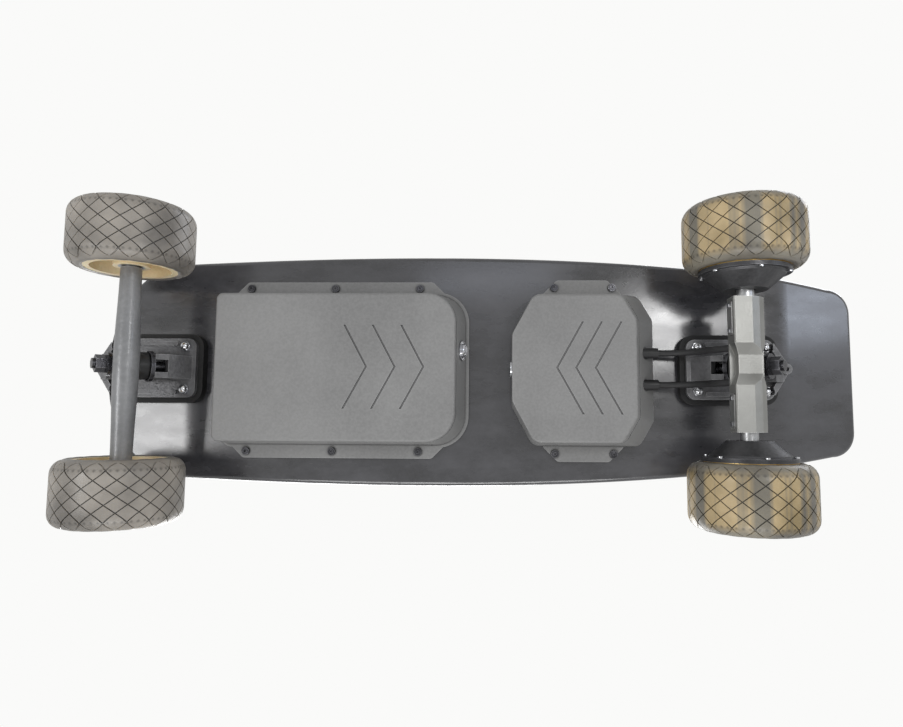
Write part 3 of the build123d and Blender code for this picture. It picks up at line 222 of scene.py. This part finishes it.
# ---------------------------------------------------------------- tyres
tyre_low, tyre_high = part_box("front_left_tyre")
TYRE_RADIUS = (tyre_high.z - tyre_low.z) / 2
TYRE_HALF = (tyre_high.y - tyre_low.y) / 2
BORE = 38.04 * MM            # just clear of the core
BLOCKS_ROUND = 19
BLOCK_ROWS = 4
GROOVE_DEPTH = 0.9 * MM
GROOVE_HALF = 0.28 * MM
GROOVE_WALL = 0.2 * MM
SHOULDER = 11 * MM           # radius of the tread's rounded shoulders
SHOULDER_STEPS = 8
LATTICE_IN = 2.4 * MM        # the lattice's outermost corners, in from the side walls
LATTICE_DROP = 5.5 * MM      # and below the tread


# Poured polyurethane, smoky and slightly see-through: a soft sheen and light scattered inside.
# Its grooves and side walls get painted shade. Round the motors a painted reflection of the
# golden can lies in upright bands, with painted shade between them.
def make_urethane(name, axle, over_gold_can):
    material, tree, shader, place = start_finish(
        name, Coat_Weight=0.25, Coat_Roughness=0.25, IOR=1.5, Subsurface_Weight=0.12,
        Subsurface_Scale=0.004)
    shader.inputs["Subsurface Radius"].default_value = (1.0, 0.8, 0.55)
    cloud = blotches(tree, place, 26 * MM, detail=4)
    fine = blotches(tree, place, 3 * MM, detail=2)
    colour = blend_colours(tree, cloud, "#5c5852" if over_gold_can else "#67635e",
                           "#8d8779" if over_gold_can else "#9c968e")
    offset = add(tree, "VectorMath", {0: place, 1: axle}, operation="SUBTRACT").outputs[0]
    axes = add(tree, "SeparateXYZ", {0: offset})
    radius = sums(tree, "SQRT", sums(tree, "ADD", sums(tree, "POWER", axes.outputs["X"], 2),
                                     sums(tree, "POWER", axes.outputs["Z"], 2)))
    outer = sums(tree, "ABSOLUTE", axes.outputs["Y"])
    # painted reflection of the golden can in upright bands across the rear tyres' tread
    if over_gold_can:
        turn = sums(tree, "ARCTAN2", axes.outputs["Z"], axes.outputs["X"])
        around = add(tree, "CombineXYZ", {
            "X": sums(tree, "COSINE", turn), "Y": sums(tree, "SINE", turn)}).outputs[0]
        reflection_bands = add(tree, "TexNoise", {"Vector": around, "Scale": 3.4, "Detail": 3,
                                       "Roughness": 0.6}).outputs["Fac"]
        reflection_bands = add(tree, "MapRange", {"Value": reflection_bands, "From Min": 0.45,
                                       "From Max": 0.56}).outputs[0]
        inside = add(tree, "MapRange", {"Value": outer, "From Min": 25 * MM,
                                        "From Max": 19 * MM}).outputs[0]
        seen = sums(tree, "MULTIPLY", reflection_bands, inside)
        gold_reflection = blend_colours(tree, cloud, "#8f7c52", "#cdb486")
        colour = blend_colours(tree, sums(tree, "MULTIPLY", seen, 0.75), colour, gold_reflection)
        # painted shade on the tread between the bands
        dark = sums(tree, "MULTIPLY", sums(tree, "SUBTRACT", inside, reflection_bands, True), 0.3)
        colour = blend_colours(tree, dark, colour, "#4f4c40")
    # painted shade on the side walls, standing for the dark core seen through them
    wall = add(tree, "MapRange", {"Value": outer, "From Min": TYRE_HALF - 1.2 * MM,
                                  "From Max": TYRE_HALF - 0.2 * MM}).outputs[0]
    colour = blend_colours(tree, sums(tree, "MULTIPLY", wall, 0.55), colour, "#4f4b46")
    # depth below the tread, whose shoulders are arcs
    past = sums(tree, "MAXIMUM", sums(tree, "SUBTRACT", outer, TYRE_HALF - SHOULDER), 0.0)
    inner = sums(tree, "SUBTRACT", radius, TYRE_RADIUS - SHOULDER)
    reach = sums(tree, "SQRT", sums(tree, "ADD", sums(tree, "POWER", past, 2),
                                    sums(tree, "POWER", inner, 2)))
    # painted shade in the grooves, where the surface lies below the tread
    groove_shade = add(tree, "MapRange", {"Value": reach, "From Min": SHOULDER - 0.4 * MM,
                                    "From Max": SHOULDER - 0.8 * MM}).outputs[0]
    on_tread = add(tree, "MapRange", {"Value": outer, "From Min": 22.5 * MM,
                                      "From Max": 20.5 * MM}).outputs[0]
    colour = blend_colours(tree, sums(tree, "MULTIPLY", sums(
        tree, "MULTIPLY", groove_shade, on_tread), 0.8), colour, "#1f1d1b")
    surface(tree, shader, colour, between(tree, cloud, 0.34, 0.52), fine, 0.08 * MM, 0.6)
    return material


# ---------------------------------------------------------------- the boxes' plastic
# Glass-filled nylon moulded in a spark-eroded tool: matt grey, an even fine texture, slightly
# polished and lighter where hands and stones have rubbed its edges.
def make_box_plastic(node):
    """The finish for one node; a fine dark line runs round a box in its shallow seam."""
    material, tree, shader, place = start_finish(f"moulded_grey_nylon_{node}", IOR=1.5)
    cloud = blotches(tree, place, 45 * MM, detail=4)
    spark = blotches(tree, place, 1.1 * MM, detail=2)
    tone = sums(tree, "ADD", sums(tree, "MULTIPLY", cloud, 0.6), sums(tree, "MULTIPLY", spark, 0.4))
    colour = blend_colours(tree, tone, "#767676", "#888888")
    wear = sums(tree, "MULTIPLY", worn_edges(tree, 1.0 * MM), between(tree, cloud, 0.3, 0.8))
    colour = blend_colours(tree, wear, colour, "#b9b9ba")
    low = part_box(node)[0].z
    height = add(tree, "SeparateXYZ", {0: place}).outputs["Z"]
    seam = sums(tree, "COMPARE", height, low + 4.5 * MM)
    seam.node.inputs[2].default_value = 0.5 * MM
    colour = blend_colours(tree, sums(tree, "MULTIPLY", seam, 0.85), colour, "#1c1c1d")
    # painted shade darkens the marks and corners, where the surface is hemmed in
    open_air = add(tree, "AmbientOcclusion", {"Distance": 2.5 * MM}, samples=8).outputs["AO"]
    cavity_shade = add(tree, "MapRange", {"Value": open_air, "From Min": 0.9, "From Max": 0.6,
                                  "To Max": 0.85}).outputs[0]
    colour = blend_colours(tree, cavity_shade, colour, "#262627")
    surface(tree, shader, colour, between(tree, tone, 0.42, 0.6), spark, 0.1 * MM, 0.5)
    return material


# ---------------------------------------------------------------- milled and painted metal
# Aluminium milled from bar and bead blasted: pale grey, with faint cutter marks along the bar.
def make_milled():
    material, tree, shader, place = start_finish("blasted_milled_aluminium", Metallic=0.85)
    cuts = add(tree, "TexWave", {"Vector": place, "Scale": 0.35 / (1.6 * MM), "Distortion": 0.6,
                                 "Detail": 2}, bands_direction="Y").outputs["Fac"]
    blast = blotches(tree, place, 1.0 * MM, detail=2)
    cloud = blotches(tree, place, 18 * MM)
    colour = blend_colours(tree, cloud, "#898986", "#a3a3a0")
    wear = sums(tree, "MULTIPLY", worn_edges(tree, 0.9 * MM), 0.8)
    colour = blend_colours(tree, wear, colour, "#d6d6d3")
    relief = sums(tree, "ADD", sums(tree, "MULTIPLY", cuts, 0.3), blast)
    surface(tree, shader, colour, between(tree, cloud, 0.38, 0.52), relief, 0.06 * MM, 0.6)
    return material


# Aluminium anodised gold and brushed round: a warm metal that mirrors in soft bands.
def make_gold():
    material, tree, shader, place = start_finish("gold_anodised_aluminium", Metallic=0.95)
    drawn_out = add(tree, "Mapping", {"Vector": place, "Scale": (20, 900, 20)}).outputs[0]
    brushed = add(tree, "TexNoise", {"Vector": drawn_out, "Scale": 1.0,
                                     "Detail": 3}).outputs["Fac"]
    cloud = blotches(tree, place, 14 * MM)
    surface(tree, shader, blend_colours(tree, cloud, "#b08a45", "#d8b873"),
            between(tree, brushed, 0.25, 0.45), brushed, 0.03 * MM, 0.5)
    return material


# ---------------------------------------------------------------- every finish by slot
finishes = {
    "deck": make_lacquer(),
    "grip": make_grit(),
    "box": make_box_plastic("cell_tray"),
    "milled": make_milled(),
    "gold_can": make_gold(),
    # Moulded rubber: matt black, greyer where it has been handled.
    "riser": plain_finish("moulded_rubber", "#141414", "#242425", 12 * MM, 1.2 * MM, 0.12 * MM,
                          (0.6, 0.8), edge="#4a4a4b"),
    # Closed-cell foam rubber: dull black with small pores.
    "gasket": plain_finish("foam_rubber", "#101011", "#1e1e1f", 6 * MM, 0.9 * MM, 0.2 * MM,
                           (0.8, 0.95)),
    # Sand-cast aluminium, powder coated dark grey: pebbly, satin, rubbed bright on its edges.
    "cast_dark": plain_finish("powder_coated_casting", "#59595b", "#78787a", 15 * MM, 1.4 * MM,
                              0.16 * MM, (0.34, 0.5), edge="#b4b5b6", Metallic=0.35),
    # Forged aluminium, painted blue-grey: smooth satin with a soft sheen.
    "cast_grey": plain_finish("painted_forging", "#757678", "#8b8c8e", 22 * MM, 1.6 * MM,
                              0.08 * MM, (0.3, 0.42), edge="#b0b0b1", Metallic=0.25,
                              Coat_Weight=0.15),
    # Bright zinc on steel: a cool mirror dulled in patches.
    "bright_steel": plain_finish("zinc_plated_steel", "#c3c4c8", "#e4e5e8", 4 * MM, 0.8 * MM,
                                 0.02 * MM, (0.14, 0.26), Metallic=1.0),
    # Turned steel: grey metal, satin from the tool.
    "steel": plain_finish("turned_steel", "#a4a5a6", "#c4c5c6", 5 * MM, 0.7 * MM, 0.03 * MM,
                          (0.24, 0.4), Metallic=1.0),
    # Poured hard urethane: black with a dull shine.
    "bushing": plain_finish("black_urethane", "#131314", "#202022", 7 * MM, 1.2 * MM, 0.05 * MM,
                            (0.32, 0.5)),
    # Moulded nylon, cream: waxy, slightly yellowed in patches.
    "front_core": plain_finish("cream_nylon", "#d8c193", "#eadbb9", 16 * MM, 1.3 * MM,
                               0.06 * MM, (0.35, 0.5), edge="#f6eedb", Subsurface_Weight=0.1,
                               Subsurface_Scale=0.003),
    # Aluminium anodised black: dark satin metal with pale rubbed edges.
    "black_metal": plain_finish("black_anodised_aluminium", "#3b3b3d", "#535355", 12 * MM,
                                1.2 * MM, 0.05 * MM, (0.3, 0.46), edge="#8b8b90",
                                Metallic=0.6),
    # Silicone rubber sheath: soft black with a dusty bloom.
    "cable": plain_finish("silicone_sheath", "#121213", "#222224", 8 * MM, 1.0 * MM, 0.05 * MM,
                          (0.4, 0.6)),
    # Enamelled copper wire: orange-brown metal under clear enamel.
    "copper": plain_finish("enamelled_copper", "#a65a30", "#c97b49", 4 * MM, 0.8 * MM,
                           0.15 * MM, (0.2, 0.35), Metallic=1.0, Coat_Weight=0.6),
    # Nickel plate on sintered magnet: pale yellowish mirror.
    "magnet": plain_finish("nickel_plate", "#b5b2a8", "#d5d2c8", 5 * MM, 0.8 * MM, 0.02 * MM,
                           (0.15, 0.3), Metallic=1.0),
    # Glass epoxy board under solder mask: glossy green with a faint weave.
    "circuit": plain_finish("solder_mask_board", "#0f4a2a", "#1c6b3d", 6 * MM, 0.7 * MM,
                            0.04 * MM, (0.25, 0.4)),
    # Heat-shrunk sleeve: thin blue film, tight and glossy.
    "cell": plain_finish("shrink_sleeve", "#22467a", "#2f5c9b", 9 * MM, 1.5 * MM, 0.05 * MM,
                         (0.2, 0.35)),
}
# Steel blackened in hot oxide and oiled: nearly black, with a wet-looking shine.
black_oxide = plain_finish("black_oxide_steel", "#39393c", "#56565a", 5 * MM, 0.8 * MM,
                           0.03 * MM, (0.2, 0.36), edge="#a0a0a5", Metallic=0.9)
wheel_axles = {}
for end in ("front", "rear"):
    for word in SIDES:
        low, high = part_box(f"{end}_{word}_tyre")
        wheel_axles[end, word] = (low + high) / 2
tyre_finishes = {key: make_urethane(f"smoky_urethane_{key[0]}_{key[1]}", middle, key[0] == "rear")
                 for key, middle in wheel_axles.items()}

# Aluminium anodised grey: even, satin, slightly darker than the milled bar it covers.
grey_anodised = plain_finish("grey_anodised_aluminium", "#7c7c7b", "#929291", 10 * MM, 1.0 * MM,
                             0.04 * MM, (0.34, 0.46), edge="#c4c4c2", Metallic=0.6)

BLACKENED = ("kingpin_nuts", "kingpin_washers", "enclosure_screws", "kingpins")
BOXES = ("battery_box", "esc_box")
slot_of = {row["node"]: row["material_slot"] for row in frame["record"]["subparts"]}
for node, piece in frame["nodes"].items():
    slot = slot_of[node]
    if slot == "tyre":
        continue
    if node in BLACKENED:
        finish = black_oxide
    elif node == "hanger_covers":
        finish = grey_anodised
    elif node in BOXES:
        finish = make_box_plastic(node)
    else:
        finish = finishes[slot]
    piece.data.materials.clear()
    piece.data.materials.append(finish)


# ---------------------------------------------------------------- modelling by hand
def select_none():
    if bpy.context.object and bpy.context.object.mode != "OBJECT":
        bpy.ops.object.mode_set(mode="OBJECT")
    bpy.ops.object.select_all(action="DESELECT")


def start_ring(name, sides, radius, height):
    """A new open ring of edges round Z, in edit mode."""
    select_none()
    bpy.ops.mesh.primitive_circle_add(vertices=sides, radius=radius, location=(0, 0, 0))
    piece = bpy.context.object
    piece.name = piece.data.name = name
    bpy.ops.object.mode_set(mode="EDIT")
    bpy.ops.mesh.select_all(action="SELECT")
    bpy.ops.transform.translate(value=(0, 0, height))
    return piece


def pull_ring(rise, growth, height):
    """Extrudes the chosen ring upwards and scales it about Z."""
    bpy.ops.mesh.extrude_region_move(TRANSFORM_OT_translate={"value": (0, 0, rise)})
    bpy.ops.transform.resize(value=(growth, growth, 1), center_override=(0, 0, height))


def turn_shape(name, sides, profile):
    """A closed ring-shaped piece, pulled out of one ring through (height, radius) places."""
    height, radius = profile[0]
    piece = start_ring(name, sides, radius, height)
    for next_height, next_radius in list(profile[1:]) + [profile[0]]:
        pull_ring(next_height - height, next_radius / radius, next_height)
        height, radius = next_height, next_radius
    bpy.ops.mesh.select_all(action="SELECT")
    bpy.ops.mesh.remove_doubles(threshold=0.01 * MM)
    bpy.ops.mesh.normals_make_consistent(inside=False)
    bpy.ops.object.mode_set(mode="OBJECT")
    return piece


def choose(piece, kind, wanted):
    """Selects the vertices, edges or faces that wanted says yes to, and nothing else."""
    bpy.ops.mesh.select_mode(type={"vertices": "VERT", "edges": "EDGE", "polygons": "FACE"}[kind])
    bpy.ops.mesh.select_all(action="DESELECT")
    bpy.ops.object.mode_set(mode="OBJECT")
    for item in getattr(piece.data, kind):
        item.select = wanted(item)
    bpy.ops.object.mode_set(mode="EDIT")


def put(piece, matrix, finish):
    """Places a finished piece by its mesh, and gives it its finish."""
    piece.data.transform(matrix)
    piece.data.update()
    piece.data.materials.clear()
    piece.data.materials.append(finish)


def smooth(piece, angle):
    select_none()
    piece.select_set(True)
    bpy.context.view_layer.objects.active = piece
    bpy.ops.object.shade_smooth_by_angle(angle=math.radians(angle))


def apply(piece, kind, **settings):
    """Adds a modifier and applies it."""
    select_none()
    piece.select_set(True)
    bpy.context.view_layer.objects.active = piece
    modifier = piece.modifiers.new(kind.lower(), kind)
    for key, value in settings.items():
        setattr(modifier, key, value)
    bpy.ops.object.modifier_apply(modifier=modifier.name)


# ---------------------------------------------------------------- the tread
def make_tread():
    """One tyre round Z, its tread cut into diamond blocks by crossing grooves."""
    floor = TYRE_RADIUS - GROOVE_DEPTH
    half = TYRE_HALF
    wall = half - GROOVE_DEPTH
    shoulder = []
    for step in range(SHOULDER_STEPS + 1):
        angle = math.radians(90 * step / SHOULDER_STEPS)
        shoulder.append((wall - SHOULDER * (1 - math.sin(angle)),
                         floor - SHOULDER * (1 - math.cos(angle))))
    outline = [(-height, radius) for height, radius in reversed(shoulder)] + shoulder
    body = turn_shape("tyre_form", 96, [(-wall, BORE)] + outline + [(wall, BORE)])
    smooth(body, 60)
    # the outermost corners of the lattice lie low on the shoulders
    reach = half - LATTICE_IN
    pitch = 2 * reach / BLOCK_ROWS
    drop = (floor - LATTICE_DROP) / floor
    tyre = start_ring("tread", BLOCKS_ROUND, floor * drop, -reach)
    for row in range(BLOCK_ROWS):
        growth = {0: 1 / drop, BLOCK_ROWS - 1: drop}.get(row, 1)
        pull_ring(pitch, growth, 0)
    bpy.ops.mesh.select_all(action="SELECT")
    bpy.ops.mesh.poke(offset=0)
    # every second diagonal row of corners is a poked middle; the old grid's edges are dissolved
    rows = [-reach + pitch * i for i in range(BLOCK_ROWS + 1)]

    def on_grid(index):
        height = tyre.data.vertices[index].co.z
        return min(abs(height - row) for row in rows) < pitch / 8

    choose(tyre, "edges", lambda e: on_grid(e.vertices[0]) and on_grid(e.vertices[1])
           and not all(abs(abs(tyre.data.vertices[v].co.z) - reach) < 1e-6 for v in e.vertices))
    bpy.ops.mesh.dissolve_edges(use_verts=False)
    bpy.ops.mesh.select_all(action="SELECT")
    bpy.ops.object.mode_set(mode="OBJECT")
    face = tyre.data.polygons[0]
    inside_out = face.normal.dot(face.center) < 0
    bpy.ops.object.mode_set(mode="EDIT")
    if inside_out:
        bpy.ops.mesh.flip_normals()
    bpy.ops.mesh.inset(thickness=GROOVE_HALF, use_individual=True, use_boundary=True)
    bpy.ops.mesh.inset(thickness=GROOVE_WALL, use_individual=True, use_boundary=True)
    tyre.vertex_groups.new(name="blocks")
    bpy.context.tool_settings.vertex_group_weight = 1.0
    bpy.ops.object.vertex_group_assign()
    bpy.ops.mesh.select_all(action="SELECT")
    bpy.ops.mesh.subdivide(number_cuts=2)
    bpy.ops.object.mode_set(mode="OBJECT")
    apply(tyre, "SHRINKWRAP", target=body, wrap_method="NEAREST_SURFACEPOINT")
    apply(tyre, "DISPLACE", direction="NORMAL", strength=GROOVE_DEPTH, mid_level=0,
          vertex_group="blocks")
    # the two side walls and the bore
    bpy.ops.object.mode_set(mode="EDIT")
    for side in (1, -1):
        edge_uses = {}
        for face in tyre.data.polygons:
            for key in face.edge_keys:
                edge_uses[key] = edge_uses.get(key, 0) + 1
        rim = {v for key, uses in edge_uses.items() if uses == 1 for v in key
               if tyre.data.vertices[v].co.z * side > 0}
        radius = sum(tyre.data.vertices[v].co.xy.length for v in rim) / len(rim)
        height = sum(tyre.data.vertices[v].co.z for v in rim) / len(rim)
        choose(tyre, "edges", lambda e: e.vertices[0] in rim and e.vertices[1] in rim
               and edge_uses.get(tuple(sorted(e.vertices)), 0) == 1)
        for next_height, next_radius in ((side * (half - 0.9 * MM), radius - 1.8 * MM),
                                         (side * (half - 0.2 * MM), radius - 3.4 * MM),
                                         (side * half, radius - 5.0 * MM),
                                         (side * half, BORE + 2 * MM),
                                         (side * (half - 0.8 * MM), BORE + 0.8 * MM),
                                         (side * (half - 0.8 * MM), BORE)):
            pull_ring(next_height - height, next_radius / radius, next_height)
            height, radius = next_height, next_radius
        bpy.ops.object.mode_set(mode="OBJECT")
        bpy.ops.object.mode_set(mode="EDIT")
    bpy.ops.mesh.select_all(action="DESELECT")
    bpy.ops.mesh.select_mode(type="EDGE")
    bpy.ops.mesh.select_non_manifold(extend=False, use_wire=False, use_multi_face=False,
                                     use_non_contiguous=False, use_verts=False)
    bpy.ops.mesh.bridge_edge_loops()
    bpy.ops.mesh.select_all(action="SELECT")
    bpy.ops.mesh.normals_make_consistent(inside=False)
    bpy.ops.object.mode_set(mode="OBJECT")
    bpy.data.objects.remove(body)
    smooth(tyre, 38)
    return tyre


tread = make_tread()
for (end, word), middle in wheel_axles.items():
    tyre = tread.copy()
    tyre.data = tread.data.copy()
    tyre.name = tyre.data.name = f"{end}_{word}_tread"
    scene.collection.objects.link(tyre)
    lay = Matrix.Translation(middle) @ Matrix.Rotation(math.radians(90), 4, "X")
    put(tyre, lay, tyre_finishes[end, word])
    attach(tyre, f"{end}_{word}_wheel")
    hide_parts(f"{end}_{word}_tyre")
bpy.data.objects.remove(tread)


# ---------------------------------------------------------------- bushings
RING_HALF = 4 * MM           # half the thickness of the hanger's ring
BUSHING_BORE = 5 * MM
joints = {joint["name"]: joint for joint in frame["joints"]}
for end in ("front", "rear"):
    joint = joints[f"{end}_truck_lean"]
    ring, lean = Vector(joint["pos_m"]), Vector(joint["axis"])
    outward = 1 if end == "front" else -1
    kingpin = Vector((lean.z * outward, 0, -abs(lean.x)))
    to_kingpin = kingpin.to_track_quat("Z", "Y").to_matrix().to_4x4()
    # a barrel against the base plate and a cone under the nut, both bulging under load
    for place, start, length, low, high in (("boardside", -RING_HALF, -14 * MM, 12.6, 12.6),
                                            ("roadside", RING_HALF, 12 * MM, 11.8, 9.3)):
        way = 1 if length > 0 else -1
        tall = abs(length)
        piece = turn_shape(f"{end}_{place}_urethane", 48, [
            (0.0, BUSHING_BORE), (0.0, (low - 1.2) * MM), (0.08 * tall, (low - 0.3) * MM),
            (0.3 * tall, (low + 0.25) * MM), (0.5 * tall, ((low + high) / 2 + 0.35) * MM),
            (0.75 * tall, ((low + 3 * high) / 4 + 0.25) * MM), (0.93 * tall, (high - 0.2) * MM),
            (tall, (high - 1.0) * MM), (tall, BUSHING_BORE)])
        smooth(piece, 50)
        flip = Matrix.Rotation(math.pi if way < 0 else 0, 4, "X")
        put(piece, Matrix.Translation(ring + kingpin * start) @ to_kingpin @ flip,
            finishes["bushing"])
        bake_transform(piece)
        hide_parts(f"{end}_{place}_bushing")

# ---------------------------------------------------------------- motor leads
LEAD_RADIUS = 3 * MM
lead_route = [(-0.1530, 0.1022), (-0.1705, 0.1022), (-0.1825, 0.1008), (-0.1965, 0.0938),
              (-0.2065, 0.0814), (-0.2140, 0.0669), (-0.2240, 0.0560)]
for word, side in SIDES.items():
    curve = bpy.data.curves.new(f"{word}_motor_lead", "CURVE")
    curve.dimensions = "3D"
    line = curve.splines.new("NURBS")
    line.points.add(len(lead_route) - 1)
    for point, (x, z) in zip(line.points, lead_route):
        point.co = (x, side * 15 * MM, z, 1)
    line.order_u = 3
    line.use_endpoint_u = True
    line.resolution_u = 10
    curve.bevel_depth = LEAD_RADIUS
    curve.bevel_resolution = 6
    curve.use_fill_caps = True
    lead = bpy.data.objects.new(f"{word}_motor_lead", curve)
    scene.collection.objects.link(lead)
    select_none()
    lead.select_set(True)
    bpy.context.view_layer.objects.active = lead
    bpy.ops.object.convert(target="MESH")
    lead = bpy.context.object
    smooth(lead, 60)
    put(lead, Matrix.Identity(4), finishes["cable"])
    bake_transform(lead)
    if side > 0:
        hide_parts("motor_cables")

# ---------------------------------------------------------------- floor, light and camera
select_none()
bpy.ops.mesh.primitive_circle_add(vertices=64, radius=6, fill_type="NGON", location=(0, 0, 0))
floor = bpy.context.object
floor.name = "floor"
# Painted studio floor: pale and matt. Only what looks down at it meets it, so that the board
# can be lit and seen from below.
material, tree, shader, place = start_finish("pale_studio_floor", Roughness=0.9)
surface(tree, shader, blend_colours(tree, blotches(tree, place, 0.4), "#ececea", "#f2f2f0"), None)
path = add(tree, "LightPath")
from_above = sums(tree, "SUBTRACT", 1.0, add(tree, "NewGeometry").outputs["Backfacing"])
solid = sums(tree, "MULTIPLY", path.outputs["Is Camera Ray"], from_above)
output = tree.nodes["Material Output"]
clear = add(tree, "BsdfTransparent")
mixed = add(tree, "MixShader", {0: solid, 1: clear.outputs[0], 2: shader.outputs[0]})
tree.links.new(mixed.outputs[0], output.inputs["Surface"])
floor.data.materials.append(material)

world = bpy.data.worlds.new("studio")
scene.world = world
world.use_nodes = True
tree = world.node_tree
sky = tree.nodes["Background"]
bright = add(tree, "Background", {"Color": linear("#fafaf9"), "Strength": 1.0})
sky.inputs["Color"].default_value = linear("#f1f1f0")
sky.inputs["Strength"].default_value = 0.75
seen = add(tree, "LightPath").outputs["Is Camera Ray"]
mixed = add(tree, "MixShader", {0: seen, 1: sky.outputs[0], 2: bright.outputs[0]})
tree.links.new(mixed.outputs[0], tree.nodes["World Output"].inputs["Surface"])


def soft_light(name, place, target, size, power, colour):
    """A square studio light that faces target."""
    light = bpy.data.lights.new(name, "AREA")
    light.shape = "RECTANGLE"
    light.size, light.size_y = size
    light.energy = power
    light.color = linear(colour)[:3]
    lamp = bpy.data.objects.new(name, light)
    lamp.location = place
    lamp.rotation_mode = "QUATERNION"
    lamp.rotation_quaternion = (Vector(target) - Vector(place)).to_track_quat("-Z", "Y")
    scene.collection.objects.link(lamp)


soft_light("key_from_above", (0.5, -1.2, 1.9), (0, 0, 0.1), (1.4, 1.0), 26, "#ffffff")
soft_light("fill_from_above", (-1.3, 1.2, 1.5), (0, 0, 0.1), (1.2, 1.2), 14, "#f4f7ff")

camera_data = bpy.data.cameras.new("camera")
camera = bpy.data.objects.new("camera", camera_data)
scene.collection.objects.link(camera)
scene.camera = camera
camera_data.sensor_width = 36
camera_data.lens = 25.6
camera_data.shift_x = -0.034
camera_data.clip_start = 0.01
right = Vector((-0.9996, 0.0057, 0.0261))
upward = Vector((0.0033, 0.9959, -0.0900))
ahead = Vector((0.0265, 0.0899, 0.9956))
turn = Matrix((right, upward, -ahead)).transposed()
camera.rotation_mode = "QUATERNION"
camera.rotation_quaternion = turn.to_quaternion()
camera.location = (-0.020, -0.050, -0.5056)


def mirrored_light(name, spot, size, power, colour, distance=0.8):
    """A light whose reflection in the lacquer at spot meets the camera."""
    deck = frame["nodes"]["deck"]
    place = deck.matrix_world.inverted() @ Vector(spot)
    _, place, normal, _ = deck.closest_point_on_mesh(place)
    normal = (deck.matrix_world.to_3x3() @ normal).normalized()
    spot = deck.matrix_world @ place
    path = (spot - camera.location).normalized().reflect(normal)
    soft_light(name, spot + path * distance, spot, size, power, colour)


soft_light("low_key", (0.1, -1.3, -1.1), (0, 0, 0.1), (1.2, 0.5), 10, "#ffffff")
mirrored_light("tail_window", (-0.323, 0.066, 0.127), (0.16, 0.22), 0.42, "#e3edff")
mirrored_light("middle_window", (-0.192, 0.05, 0.12), (0.14, 0.2), 1.1, "#ffffff")
mirrored_light("nose_window", (0.317, -0.06, 0.12), (0.2, 0.2), 1.1, "#ffffff")
mirrored_light("top_window", (-0.01, 0.09, 0.12), (0.3, 0.06), 0.11, "#e8efff")

select_none()
